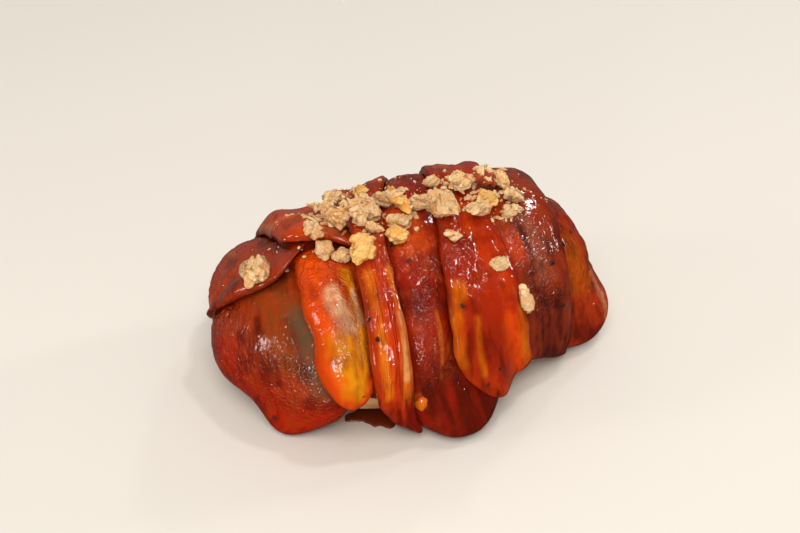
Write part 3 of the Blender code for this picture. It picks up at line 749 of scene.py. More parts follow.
def ceiling_over(rasher, u, phi):
    """Underside of the rashers on top of this one. It rises by SLOPE x the distance from their outlines."""
    ceiling = np.full(u.shape, 200.0)
    for over in RASHERS[RASHERS.index(rasher) + 1:]:
        left, right = edges(over, phi)
        side = (2 * u - left - right) / (right - left)
        start, end = ends(over, np.clip(side, -1, 1))
        beside = np.maximum(np.abs(side) - 1, 0) * (right - left) / 2
        beyond = np.maximum(np.maximum(start - phi, phi - end), 0) * MM_PER_DEGREE
        underside = stack.sample(beds[over.node], u, phi) + TOUCH + SLOPE * np.hypot(beside, beyond)
        ceiling = np.minimum(ceiling, underside)
    return ceiling


def lower_of(a, b):
    """Smooth minimum b + (a - b) h - BLEND h (1 - h), with h from 0 to 1 while b - a is within -+BLEND."""
    h = np.clip(0.5 + (b - a) / (2 * BLEND), 0, 1)
    return b + (a - b) * h - BLEND * h * (1 - h)


def rasher_relief(masks, u, phi, seed):
    """Sum in mm: slow dents, fibres along phi, small smooth ripples and grains, each times its mask."""
    place = flat_map(u, phi, seed)
    warp = np.stack([waves(place, 5.0, seed + 11), waves(place, 5.0, seed + 12), 0 * u], -1)
    dents = 0.30 * waves(place, 13.0, seed + 20, 1) + 0.20 * waves(place, 6.0, seed + 26, 1)
    along = (place + warp * 1.2) * (1.0, 0.16, 1.0)
    fibres = (0.05 + 0.30 * masks["long"]) * waves(along, 2.0, seed + 21, 2)
    ripple = (0.07 + 0.17 * masks["web"]) * waves(place + warp * 0.9, 2.7, seed + 23, 1)
    ripple += (0.03 + 0.09 * masks["web"]) * waves(place + warp * 0.9, 1.5, seed + 24, 1)
    grains = (0.02 + 0.12 * masks["grain"]) * waves(place, 1.1, seed + 25, 1)
    return dents + fibres + ripple + grains


def rasher_attributes(masks, from_rim, side, half_width, phi, seed):
    """The streak masks, the rim mask, which paints shade in the seams, and the flat map for the vertices of
    both sheets.
    """
    attributes = {}
    for kind in KINDS:
        attributes[kind] = np.concatenate([masks[kind].ravel(), masks[kind][1:-1, 1:-1].ravel()])
    # 1 at the rim and 0 from 3 mm in: the meat finish darkens by it, painted shade in the seams
    rim = smooth(from_rim, 3.0, 0.0)
    attributes["rim"] = np.concatenate([rim.ravel(), np.ones(rim[1:-1, 1:-1].size)])
    flat = flat_map(side * half_width.mean(), phi, seed)
    attributes["flat"] = np.concatenate([flat.reshape(-1, 3), flat[1:-1, 1:-1].reshape(-1, 3)])
    return attributes


def make_rasher(rasher, name, seed):
    """Upper = bed + RIM + (thickness - RIM + relief) x c, up to the rashers that lie on it.
    Lower = bed + RIM x (1 - c). c = sqrt(1 - (1 - e)^2), and e is the distance from the rim over RIM."""
    side, share, u, phi = rasher_grid(rasher, seed)
    rows, columns = side.shape
    masks = far_side_masks(streak_masks(rasher.node, u, phi, seed), side, phi, seed)
    bed = soften(stack.sample(beds[rasher.node], u, phi), 8) - SINK
    half_width = (edge_at(rasher.right, phi) - edge_at(rasher.left, phi)) / 2
    length = (rasher.front[1] - rasher.back[1]) * MM_PER_DEGREE
    from_rim = np.minimum((1 - np.abs(side)) * half_width, np.minimum(share, 1 - share) * length)
    near = np.clip(from_rim / RIM, 0, 1)
    roundness = np.sqrt(1 - (1 - near) ** 2)
    thick = soften(thickness(rasher, u, phi, side, share, CROWN_POWER, CROWN_GROW), 4)
    corner = smooth(share, *CORNER_SHARE) * smooth(-u, *CORNER_U)
    thick = EDGE + (thick - EDGE) * (1 - END_THIN.get(rasher.node, 0.0) * corner)
    relief = rasher_relief(masks, u, phi, seed) * smooth(from_rim, 0, 2.5)
    ceiling = soften(ceiling_over(rasher, u, phi), 2)
    outer = lower_of(bed + RIM + (thick - RIM + relief) * roundness, ceiling)
    inner = bed + RIM * (1 - roundness)
    points = slab_points(to_points(u, phi, np.maximum(outer, inner)), to_points(u, phi, inner))
    attributes = rasher_attributes(masks, from_rim, side, half_width, phi, seed)
    piece = make_piece(name, points, slab_quads(rows, columns), attributes)
    print(name, rows, "x", columns, "points,", 4 * (rows - 1) * (columns - 1), "triangles")
    return piece


RASHER_NAMES = {
    "bacon_rasher_1": "front_left_rasher",
    "bacon_rasher_2": "golden_rasher",
    "bacon_rasher_3": "left_end_rasher",
    "bacon_rasher_4": "lobe_rasher",
    "bacon_rasher_5": "left_top_rasher",
    "bacon_rasher_6": "narrow_rasher",
    "bacon_rasher_7": "maroon_rasher",
    "bacon_rasher_8": "right_end_rasher",
    "bacon_rasher_9": "tongue_rasher",
}
rashers = {}
for number, rasher in enumerate(RASHERS, 1):
    rashers[rasher.node] = make_rasher(rasher, RASHER_NAMES[rasher.node], number)

# %% [markdown]
# ## Sauce in the creases
# Sauce runs into the creases and sets there, which glues the rashers together to the eye. Averaging the
# stack's radii over a few millimetres gives a surface that is higher than the meat in a crease and
# lower on a crown. Lowered a little, it shows only in the creases. It is one closed sheet.

# %% Crease sauce
SAUCE_ROWS, SAUCE_COLUMNS = 214, 230
SAUCE_U, SAUCE_PHI = (-73, 76), (-112, 128)
SAUCE_REACH, SAUCE_CAP, SAUCE_SHEET = 1.6, -0.4, 0.5
SAUCE_MARGIN, SAUCE_LOWER = 2.5, 1.4       # below the average in a crease, and how much lower elsewhere
CREASE_FROM, CREASE_FULL = 0.5, 1.2        # depth at which a hollow starts to count as a crease, and is one


def make_crease_sauce():
    """Radius = averaged stack - margin, up to the cap on the meat. The margin is wider outside a crease."""
    reach_u = round(SAUCE_REACH / Stack.STEP_U)
    reach_phi = round(np.degrees(SAUCE_REACH / MEAN_RADIUS) / Stack.STEP_PHI)
    average = stack.spread(stack.spread(stack.top, np.mean, reach_u, reach_phi), np.mean, 2, 2)
    hollow = stack.spread(average - stack.top, np.mean, 1, 1)
    margin = SAUCE_MARGIN + SAUCE_LOWER * (1 - smooth(hollow, CREASE_FROM, CREASE_FULL))
    table = np.minimum(average - margin, stack.spread(stack.top, np.mean, 1, 1) + SAUCE_CAP)
    along, around = np.linspace(*SAUCE_U, SAUCE_ROWS), np.linspace(*SAUCE_PHI, SAUCE_COLUMNS)
    u, phi = np.meshgrid(along, around, indexing="ij")
    radius = stack.sample(table, u, phi) + 0.12 * waves(flat_map(u, phi, 60), 3.0, 61, 2)
    points = slab_points(to_points(u, phi, radius), to_points(u, phi, radius - SAUCE_SHEET))
    print("crease sauce:", 4 * (SAUCE_ROWS - 1) * (SAUCE_COLUMNS - 1), "triangles")
    return make_piece("crease_sauce", points, slab_quads(SAUCE_ROWS, SAUCE_COLUMNS))


crease_sauce = make_crease_sauce()

# %% [markdown]
# ## The chicken
# The fillet shows only in the gaps between rashers and underneath. It is one round body from pole to
# pole, with faint muscle fibres along the roll.

# %% Chicken
FILLET_ROWS, FILLET_COLUMNS = 200, 330
FILLET_INSET = 0.5         # how far the fillet's mean surface lies below the solid's


def make_fillet():
    """Radius(u, phi) of the fillet less the inset, plus fibres. Rings over u, poles at both ends."""
    share = (np.arange(1, FILLET_ROWS + 1)) / (FILLET_ROWS + 1)
    u = SPINE_LEFT - POLE + share * (SPINE_RIGHT - SPINE_LEFT + 2 * POLE)
    u, phi = np.meshgrid(u, np.arange(FILLET_COLUMNS) * 360.0 / FILLET_COLUMNS - 180, indexing="ij")
    surface = to_points(u, phi, fillet_radius(u, phi))
    fibres = 0.22 * ridges(surface * (0.2, 1.0, 0.35), 2.2, 90, 1.5) + 0.18 * waves(surface, 9.0, 91, 1)
    radius = fillet_radius(u, phi) - FILLET_INSET + fibres
    ring = to_points(u, phi, radius)
    ends_u = np.array([SPINE_LEFT - POLE, SPINE_RIGHT + POLE])
    poles = to_points(ends_u, np.zeros(2), fillet_radius(ends_u, np.zeros(2)) - FILLET_INSET)
    points = np.concatenate([poles[:1], ring.reshape(-1, 3), poles[1:]])
    points[:, 2] = np.where(points[:, 2] < FLOOR_GAP, 0.0, points[:, 2])
    print("chicken:", len(points), "points")
    return make_piece("chicken", points, round_quads(FILLET_ROWS, FILLET_COLUMNS))


chicken = make_fillet()

# %% [markdown]
# ## Crumb pieces
# A crumb piece is torn, dry and full of grains. Each one starts from its solid: a ray from its middle
# in every direction of a round grid finds the solid's surface. Lumps of two sizes are then raised on
# that radius. Pieces of one kind share one mesh, because they share one finish.

# %% Crumb pieces
CRUMB_ROWS, CRUMB_COLUMNS = ((54, 82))
CRUMB_KINDS = {
    "crumb": "pale_crumbs",
    "golden_crumb": "golden_crumbs",
    "glazed_crumb": "glazed_crumbs",
    "red_crumb": "red_crumbs",
}


def directions(rows, columns):
    """Unit vectors: the two poles and rings of equal angle between them."""
    tilt = np.pi * np.arange(1, rows + 1) / (rows + 1)
    tilt, turn = np.meshgrid(tilt, 2 * np.pi * np.arange(columns) / columns, indexing="ij")
    ring = np.stack([np.sin(tilt) * np.cos(turn), np.sin(tilt) * np.sin(turn), np.cos(tilt)], -1)
    return np.concatenate([[[0, 0, 1.0]], ring.reshape(-1, 3), [[0, 0, -1.0]]])


def solid_radius(corners, middle, toward):
    """Distance from the middle to a closed solid in each direction: the farthest hit on its triangles."""
    a = corners[:, 0] - middle
    edge_1, edge_2 = corners[:, 1] - corners[:, 0], corners[:, 2] - corners[:, 0]
    normal = np.cross(edge_1, edge_2)
    along = toward @ normal.T
    reach = (a * normal).sum(-1) / np.where(np.abs(along) < 1e-12, 1e-12, along)
    hit = toward[:, None, :] * reach[..., None] - a
    side_1 = np.einsum("ijk,jk->ij", hit, np.cross(edge_2, normal))
    side_2 = np.einsum("ijk,jk->ij", hit, np.cross(normal, edge_1))
    area = (normal ** 2).sum(-1)
    s, t = side_1 / area, side_2 / area
    inside = (s > -1e-4) & (t > -1e-4) & (s + t < 1 + 1e-4) & (reach > 0)
    return np.where(inside, reach, 0).max(axis=1)


def nearest_two(points, seeds):
    """Distance to the nearest and to the second nearest seed, and which seed is nearest."""
    distance = np.sqrt(((points[:, None] - seeds[None]) ** 2).sum(-1))
    order = np.argpartition(distance, 1, axis=1)[:, :2]
    near = np.take_along_axis(distance, order, axis=1)
    swapped = near[:, 0] > near[:, 1]
    first = np.where(swapped, order[:, 1], order[:, 0])
    return near.min(axis=1), near.max(axis=1), first


FLAKE = 0.7                # share by which places are squeezed along a crumb's grain, which draws lumps out
LUMP_COUNT = 0.7           # lumps per area of a lump's size squared
NOTCH, BUMP = -1.1, 0.6    # lowest and highest relief in mm
CRUMB_LAYERS = (
    # size of a lump in mm, step between lumps, tilt, height of its dome, how dark the painted shade in the
    # gap is
    (2.6, 0.42, 0.20, 0.30, 0.6),
    (1.15, 0.16, 0.10, 0.34, 0.9),
)


def lump_layer(here, seeds, size, step, tilt, dome, random):
    """Each seed's cell is a lump with its own height and tilt, domed as 1 - (distance / 0.7 size)^2.
    The gap is 1 on the border between two cells."""
    first, second, lump = nearest_two(here, seeds)
    level = random.uniform(-step, step, len(seeds))[lump]
    slope = random.normal(size=(len(seeds), 3))[lump] * tilt
    rise = dome * (1 - (first / (0.7 * size)) ** 2)
    gap = 1 - smooth(second - first, 0.0, 0.45 * size)
    return level + ((here - seeds[lump]) * slope).sum(-1) + rise, gap


def crumb_points(node, seed):
    """Solid radius + two sizes of lumps + noise, in mm, around the middle of the node's box, and a mask of
    painted shade that is dark in the gaps between lumps and in low places.
    """
    mesh = frame["nodes"][node].data
    mesh.calc_loop_triangles()
    corners = np.array([[mesh.vertices[v].co[:] for v in t.vertices] for t in mesh.loop_triangles]) / MM
    middle = (corners.reshape(-1, 3).min(0) + corners.reshape(-1, 3).max(0)) / 2
    toward = directions(CRUMB_ROWS, CRUMB_COLUMNS)
    radius = solid_radius(corners, middle, toward)
    here = toward * radius[:, None]
    random = np.random.default_rng(seed)
    area = 4 * np.pi * np.mean(radius ** 2)
    grain = random.normal(size=3)
    grain = grain / np.linalg.norm(grain)
    place = here - FLAKE * (here @ grain)[:, None] * grain
    relief, crevice = 0, 0
    for size, step, tilt, dome, darkness in CRUMB_LAYERS:
        picked = place[random.integers(0, len(here), int(LUMP_COUNT * area / size ** 2))]
        picked = picked + random.normal(size=picked.shape) * size * 0.3
        layer, gap = lump_layer(place, picked, size, step, tilt, dome, random)
        relief = relief + layer
        crevice = np.maximum(crevice, gap * darkness)
    relief = relief + 0.5 * waves(here, 3.6, seed, 1) + 0.12 * waves(here, 0.9, seed + 7, 1)
    radius = radius + np.clip(relief - 0.2, NOTCH, BUMP) * np.clip(radius / 3.5, 0.3, 1) + 0.05
    # painted shade: darker in the gaps between lumps and in the low places
    shade = np.clip(crevice * 0.6 + smooth(-relief, 0.0, 0.8) * 0.7, 0, 1)
    return middle + toward * radius[:, None], shade


def make_crumbs(slot, name):
    """All crumb pieces of one kind, as one mesh."""
    nodes = [part["node"] for part in frame["record"]["subparts"] if part["material_slot"] == slot]
    quads = round_quads(CRUMB_ROWS, CRUMB_COLUMNS)
    parts = [crumb_points(node, 100 + 3 * k + len(name)) for k, node in enumerate(nodes)]
    size = CRUMB_ROWS * CRUMB_COLUMNS + 2
    points = np.concatenate([part[0] for part in parts])
    crevice = np.concatenate([part[1] for part in parts])
    quads = np.concatenate([quads + size * k for k in range(len(nodes))])
    piece = make_piece(name, points, quads, {"crevice": crevice})
    print(name, len(nodes), "pieces,", 2 * len(quads), "triangles")
    return piece, nodes


crumbs = {slot: make_crumbs(slot, name) for slot, name in CRUMB_KINDS.items()}

# %% [markdown]
# ## Fine crumbs, flecks and drops
# Crumbs too fine for the solids fill the heap and lie scattered over the glaze, and dark flecks of herb
# and burnt sugar stick in it. Each grain is a bent ball of 20 faces, and each torn shred one of 80. A
# ray from outside finds the spot where it lies, and the surface's normal there turns it, so that it
# rests on what carries it from every side.

# %% Scattered grains
CLUSTERS = (
    # u, phi, spread in u in mm, spread in phi in degrees, number, smallest and largest size in mm
    (-20.0, 13.0, 6.0, 8.0, 60, 1.3, 2.9),
    (-20.0, 14.0, 9.0, 11.0, 170, 0.4, 1.3),
    (-9.0, -22.0, 6.0, 6.0, 24, 0.5, 1.8),
    (8.0, 8.0, 8.0, 7.0, 56, 1.2, 2.8),
    (10.0, 10.0, 14.0, 12.0, 190, 0.4, 1.3),
    (25.0, 12.0, 7.0, 8.0, 26, 1.1, 2.4),
    (26.0, 12.0, 9.0, 11.0, 90, 0.4, 1.2),
    (-45.0, 26.0, 2.2, 2.2, 6, 0.4, 0.9),
    (17.0, 52.0, 2.0, 3.0, 6, 0.4, 1.0),
    (0.0, 34.0, 24.0, 12.0, 8, 0.3, 0.6),
)
SHREDS = (
    # the same for the torn shreds
    (-20.0, 15.0, 4.6, 6.0, 44, 2.6, 4.6),
    (-18.0, 16.0, 1.6, 2.5, 14, 2.4, 4.0),
    (-13.0, 16.0, 2.0, 4.0, 8, 2.4, 4.0),
    (-6.0, 8.0, 4.0, 4.0, 6, 2.2, 4.0),
    (8.0, 9.0, 4.5, 4.5, 20, 2.4, 4.4),
    (22.0, 14.0, 5.5, 4.5, 20, 2.4, 4.2),
    (31.0, 14.0, 3.0, 4.0, 8, 2.4, 4.0),
)
FLECKS = (
    # u, phi and size in mm
    (-43.0, 100.0, 1.9), (3.5, 64.0, 2.2), (-23.5, 59.0, 1.6), (37.0, 58.0, 2.4),
    (42.5, 50.0, 2.2), (55.5, 40.0, 1.8), (8.0, 92.0, 1.6), (13.0, 90.0, 1.3),
    (-22.5, 65.0, 1.5), (-6.5, 43.0, 1.4), (-9.0, 34.0, 2.6), (39.0, 82.0, 2.0),
)
STREWN_FLECKS = 46         # more of them, anywhere within these u and phi and with these sizes
STREWN_U, STREWN_PHI, STREWN_SIZE = (-62, 66), (-100, 112), (0.3, 0.8)
SHRED_SHAPE, CRUMB_SHAPE, FLECK_SHAPE = (1.25, 0.48, 0.3), (1.2, 0.8, 0.7), (1.1, 0.8, 0.35)
GRAIN_SINK, FLECK_SINK = 0.2, 0.3     # share of a grain's size that is below the surface
SHRED_ROUGHNESS = 0.22
OUTSIDE = 95.0             # distance from the spine at which the rays start
GOLDEN_RATIO = (1 + 5 ** 0.5) / 2


def coarse_ball():
    """The 12 corners (+-1, +-golden ratio, 0) and their turns, and the 20 triangles between neighbours,
    each faced outwards."""
    corners = [(s, t * GOLDEN_RATIO, 0) for s in (-1, 1) for t in (-1, 1)]
    corners = np.array([corner[k:] + corner[:k] for k in range(3) for corner in corners], float)
    corners /= np.linalg.norm(corners[0])
    near = np.linalg.norm(corners[:, None] - corners[None], axis=-1) < 1.1
    faces = np.array([(i, j, k) for i in range(12) for j in range(i + 1, 12) for k in range(j + 1, 12)
                      if near[i, j] and near[j, k] and near[i, k]])
    a, b, c = (corners[faces[:, k]] for k in range(3))
    outward = (a * np.cross(b, c)).sum(-1) > 0
    return corners, np.where(outward[:, None], faces, faces[:, ::-1])


def finer_ball():
    """Each triangle cut in four: its edges' middles are pushed out to the ball."""
    corners, faces = coarse_ball()
    a, b, c = (corners[faces[:, k]] for k in range(3))
    cut = np.stack([a, a + b, c + a, a + b, b, b + c, c + a, b + c, c, a + b, b + c, c + a], 1).reshape(-1, 3)
    cut = cut / np.linalg.norm(cut, axis=1, keepdims=True)
    points, faces = np.unique(cut.round(6), axis=0, return_inverse=True)
    return points, faces.reshape(-1, 3)


def surface_spots(pieces, u, phi):
    """Where a ray from outside towards the spine first meets the pieces, and the normal there, in mm."""
    graph = bpy.context.evaluated_depsgraph_get()
    trees = [BVHTree.FromObject(piece, graph) for piece in pieces]
    start, direction = rays(u, phi)
    outside = (start + direction * OUTSIDE + SHIFT) * MM
    spots, normals = [], []
    for place, way in zip(outside, -direction):
        hits = [tree.ray_cast(Vector(place), Vector(way)) for tree in trees]
        hits = [hit for hit in hits if hit[0] is not None]
        location, normal, _, _ = min(hits, key=lambda hit: hit[3])
        spots.append(np.array(location) / MM)
        normals.append(np.array(normal) * (1 if np.dot(normal, way) < 0 else -1))
    return np.array(spots), np.array(normals)


def scatter(name, spots, normals, sizes, shape, sink, random, ball, roughness=0.3):
    """One mesh of bent balls: spot + turn(ball x scales x size), the third axis along the normal."""
    count = len(spots)
    corners, faces = ball
    spin = random.normal(size=(count, 3))
    first = np.cross(normals, spin)
    first /= np.linalg.norm(first, axis=1, keepdims=True)
    turn = np.stack([first, np.cross(normals, first), normals], -1)
    scales = random.uniform(0.65, 1.25, (count, 1, 3)) * shape
    bends = random.uniform(1 - roughness, 1 + roughness, (count, len(corners), 1))
    local = corners[None] * bends * scales * sizes[:, None, None] / 2
    centres = spots + normals * (sizes * (0.5 - sink) * shape[2])[:, None]
    points = centres[:, None] + np.einsum("nij,nkj->nki", turn, local)
    faces = (faces[None] + len(corners) * np.arange(count)[:, None, None]).reshape(-1, 3)
    mesh = bpy.data.meshes.new(name)
    mesh.from_pydata((points.reshape(-1, 3) * MM).tolist(), [], faces.tolist())
    crevice = random.uniform(0, 0.5, len(corners) * count)
    mesh.attributes.new("crevice", "FLOAT", "POINT").data.foreach_set("value", crevice)
    piece = bpy.data.objects.new(name, mesh)
    bpy.context.scene.collection.objects.link(piece)
    print(name, count, "grains,", len(faces), "triangles")
    return piece


def strewn(clusters, random):
    """u, phi and size of every grain: places spread round each cluster's middle, small sizes more often."""
    parts = []
    for u, phi, spread_u, spread_phi, count, smallest, largest in clusters:
        parts.append(np.stack([
            u + random.normal(size=count) * spread_u,
            phi + random.normal(size=count) * spread_phi,
            smallest + (largest - smallest) * random.random(count) ** 2,
        ]))
    return np.concatenate(parts, axis=1)


def make_grains():
    """Shreds and fine crumbs by cluster, and flecks at their places and strewn at random."""
    random = np.random.default_rng(11)
    ball = coarse_ball()
    carriers = [*rashers.values(), *(piece for piece, _ in crumbs.values()), crease_sauce, chicken]
    u, phi, sizes = strewn(SHREDS, random)
    spots, normals = surface_spots(carriers, u, phi)
    flakes = scatter("crumb_shreds", spots, normals, sizes, SHRED_SHAPE, GRAIN_SINK, random, finer_ball(),
                     SHRED_ROUGHNESS)
    u, phi, sizes = strewn(CLUSTERS, random)
    spots, normals = surface_spots([*carriers, flakes], u, phi)
    bits = scatter("fine_crumbs", spots, normals, sizes, CRUMB_SHAPE, GRAIN_SINK, random, ball)
    u, phi, sizes = np.array(FLECKS).T
    u = np.concatenate([u, random.uniform(*STREWN_U, STREWN_FLECKS)])
    phi = np.concatenate([phi, random.uniform(*STREWN_PHI, STREWN_FLECKS)])
    sizes = np.concatenate([sizes, random.uniform(*STREWN_SIZE, STREWN_FLECKS)])
    spots, normals = surface_spots([*rashers.values(), crease_sauce, chicken], u, phi)
    flecks = scatter("glaze_flecks", spots, normals, sizes, FLECK_SHAPE, FLECK_SINK, random, ball)
    return flakes, bits, flecks


crumb_shreds, fine_crumbs, glaze_flecks = make_grains()

# %% [markdown]
# ## Pool and drop
# A little sauce has run out below the overhang at the front and lies in a thin pool, whose dark colour
# is partly painted shade under the overhang. Low on the middle rasher sit one drop of fat and the ring
# that a burst bubble left.

# %% Pool, drop and ring
POOL_MIDDLE, POOL_RADIUS, POOL_HEIGHT = (-17.0, -30.0), (9.5, 6.0), 0.6
POOL_ROWS, POOL_COLUMNS = 40, 96
DROP_AT, DROP_SIZE = (-10.5, 96.0), (2.0, 2.5, 1.3)
DROP_ROWS, DROP_COLUMNS = 24, 36
RING_AT, RING_RADIUS, RING_TUBE = (-3.0, 84.0), 1.35, 0.32
RING_POINTS, TUBE_POINTS = 36, 12


def make_pool():
    """Rings from the middle out over the top and back in under it. The rim is an ellipse times noise."""
    along = np.linspace(0.02, 1.98, POOL_ROWS)[:, None] * np.ones(POOL_COLUMNS)
    turn = np.ones(POOL_ROWS)[:, None] * np.arange(POOL_COLUMNS) * 2 * np.pi / POOL_COLUMNS
    reach = 1 - np.abs(1 - along)
    circle = np.stack([np.cos(turn), np.sin(turn), 0 * turn], -1)
    wobble = 1 + 0.28 * waves(circle * 2.0, 1.0, 71, 3)
    middle = SHIFT + (*POOL_MIDDLE, 0.0)
    x = middle[0] + POOL_RADIUS[0] * wobble * reach * circle[..., 0]
    y = middle[1] + POOL_RADIUS[1] * wobble * reach * circle[..., 1]
    z = np.where(along < 1, POOL_HEIGHT * np.sqrt(1 - reach ** 6), 0.0)
    poles = [middle + (0, 0, POOL_HEIGHT), middle]
    points = np.concatenate([poles[:1], np.stack([x, y, z], -1).reshape(-1, 3), poles[1:]])
    return make_piece("shaded_sauce_pool", points, round_quads(POOL_ROWS, POOL_COLUMNS))


def on_surface(place, local):
    """Points given across, around and outwards from a place on the rashers."""
    spots, normals = surface_spots(rashers.values(), np.array([place[0]]), np.array([place[1]]))
    up = normals[0]
    across = np.cross(up, (0.0, 0.0, 1.0))
    across /= np.linalg.norm(across)
    return spots[0] + local @ np.stack([across, np.cross(up, across), up])


def make_drop():
    """A round body: direction x size, its radius made uneven by noise."""
    ball = directions(DROP_ROWS, DROP_COLUMNS)
    local = ball * DROP_SIZE * (1 + 0.22 * waves(ball, 0.8, 81, 2))[:, None]
    return make_piece("fat_drop", on_surface(DROP_AT, local), round_quads(DROP_ROWS, DROP_COLUMNS))


def make_ring():
    """Circle plus tube: (R + r cos b) cos a, 1.3 (R + r cos b) sin a, r sin b, closed both ways."""
    a = np.arange(RING_POINTS) * 2 * np.pi / RING_POINTS
    b = np.arange(TUBE_POINTS) * 2 * np.pi / TUBE_POINTS
    a, b = np.meshgrid(a, b, indexing="ij")
    out = RING_RADIUS * (1 + 0.12 * np.sin(2 * a + 1)) + RING_TUBE * np.cos(b)
    local = np.stack([out * np.cos(a), 1.3 * out * np.sin(a), RING_TUBE * np.sin(b)], -1).reshape(-1, 3)
    index = np.arange(RING_POINTS * TUBE_POINTS).reshape(RING_POINTS, TUBE_POINTS)
    index = np.pad(index, (0, 1), "wrap")
    return make_piece("bubble_ring", on_surface(RING_AT, local), quads_of(index))


shaded_sauce_pool, fat_drop, bubble_ring = make_pool(), make_drop(), make_ring()

# %% [markdown]
# ## Finishes
# A finish is a small graph of nodes. What several finishes share is a group: the meat's colour from its
# streak masks, with painted shade in the seams, and the dry crumb's colour with painted shade in its
# crevices. The shader itself stays in each material, so that its gloss, coat and the light that scatters
# inside the meat can be set apart.


# %% Node helpers
def new_group(name, inputs, outputs):
    """A shader node group with its sockets, its input node and its output node."""
    group = bpy.data.node_groups.new(name, "ShaderNodeTree")
    for key, kind, value in inputs:
        socket = group.interface.new_socket(key, in_out="INPUT", socket_type=kind)
        socket.default_value = value
    for key, kind in outputs:
        group.interface.new_socket(key, in_out="OUTPUT", socket_type=kind)
    return group, group.nodes.new("NodeGroupInput"), group.nodes.new("NodeGroupOutput")


def node(tree, kind, inputs=None, **settings):
    """Adds a node. inputs maps a socket's name or number to a value or to the socket that feeds it."""
    made = tree.nodes.new(kind)
    for key, value in settings.items():
        setattr(made, key, value)
    for key, value in (inputs or {}).items():
        if isinstance(value, bpy.types.NodeSocket):
            tree.links.new(value, made.inputs[key])
        else:
            made.inputs[key].default_value = value
    return made


def math(tree, operation, a, b=0.0, c=0.0):
    """One Math node's result."""
    return node(tree, "ShaderNodeMath", {0: a, 1: b, 2: c}, operation=operation).outputs[0]


def blend_colour(tree, factor, a, b):
    """One Mix Color node's result."""
    return node(tree, "ShaderNodeMix", {0: factor, 6: a, 7: b}, data_type="RGBA").outputs[2]


def ramp(tree, value, low, high, to_low=0.0, to_high=1.0):
    """Map Range with a smooth step."""
    inputs = {0: value, 1: low, 2: high, 3: to_low, 4: to_high}
    return node(tree, "ShaderNodeMapRange", inputs, interpolation_type="SMOOTHSTEP").outputs[0]


def mask_of(tree, name):
    """A float attribute of the piece."""
    return node(tree, "ShaderNodeAttribute", attribute_name=name).outputs["Fac"]


def noise(tree, vector, scale, detail, output="Fac", distortion=0.0):
    """Noise from 0 to 1. scale is the number of waves per unit of the vector."""
    inputs = {"Vector": vector, "Scale": scale, "Detail": detail, "Distortion": distortion}
    return node(tree, "ShaderNodeTexNoise", inputs).outputs[output]


def stretched_noise(tree, vector, stretch, detail):
    """Noise on a vector times a stretch: a small factor makes the pattern long in that direction."""
    longer = node(tree, "ShaderNodeVectorMath", {0: vector, 1: stretch}, operation="MULTIPLY").outputs[0]
    return noise(tree, longer, 1.0, detail)


def net_of_ridges(tree, place):
    """1 on the borders between bent cells of 2 mm and 0 away from them, like skin that dried and shrank."""
    bend = noise(tree, place, 420.0, 1.0, "Color")
    bend = node(tree, "ShaderNodeVectorMath", {0: bend, 1: (0.0018,) * 3}, operation="MULTIPLY").outputs[0]
    bent = node(tree, "ShaderNodeVectorMath", {0: place, 1: bend}, operation="ADD").outputs[0]
    cells = node(tree, "ShaderNodeTexVoronoi", {"Vector": bent, "Scale": 430.0}, feature="DISTANCE_TO_EDGE")
    return ramp(tree, cells.outputs["Distance"], 0.0, 0.16, 1.0, 0.0)


def long_ridges(tree, flat):
    """1 where a noise that is long around the roll crosses its middle value, and 0 away from there."""
    level = stretched_noise(tree, flat, (0.42, 0.05, 1.0), 1.0)
    return ramp(tree, math(tree, "ABSOLUTE", math(tree, "SUBTRACT", level, 0.5)), 0.0, 0.045, 1.0, 0.0)


# %% Meat group
def linear(red, green, blue):
    """A screen colour from 0 to 255 as the linear colour that shaders use."""
    share = np.array([red, green, blue]) / 255
    return (*np.where(share <= 0.04045, share / 12.92, ((share + 0.055) / 1.055) ** 2.4), 1.0)


MEAT_COLOURS = ("Lean", "Bright", "Fat", "Olive", "Pale", "Dark")


def meat_height(tree, place, flat, broad_fibre):
    """Small smooth ripples, a net of ridges, long ridges, fibres and grains, each times its mask."""
    ripple = noise(tree, place, 430.0, 0.6, distortion=0.5)
    small = noise(tree, place, 1050.0, 1.0)
    web, grain, long = (mask_of(tree, name) for name in ("web", "grain", "long"))
    parts = (
        (ripple, math(tree, "MULTIPLY_ADD", web, 0.6, 0.34)),
        (small, math(tree, "MULTIPLY_ADD", web, 0.2, math(tree, "MULTIPLY_ADD", grain, 0.8, 0.06))),
        (net_of_ridges(tree, place), math(tree, "MULTIPLY", web, 0.42)),
        (long_ridges(tree, flat), math(tree, "MULTIPLY_ADD", long, 0.60, 0.02)),
        (broad_fibre, math(tree, "MULTIPLY_ADD", long, 0.4, 0.08)),
    )
    height = math(tree, "MULTIPLY", *parts[0])
    for value, weight in parts[1:]:
        height = math(tree, "ADD", height, math(tree, "MULTIPLY", value, weight))
    return height


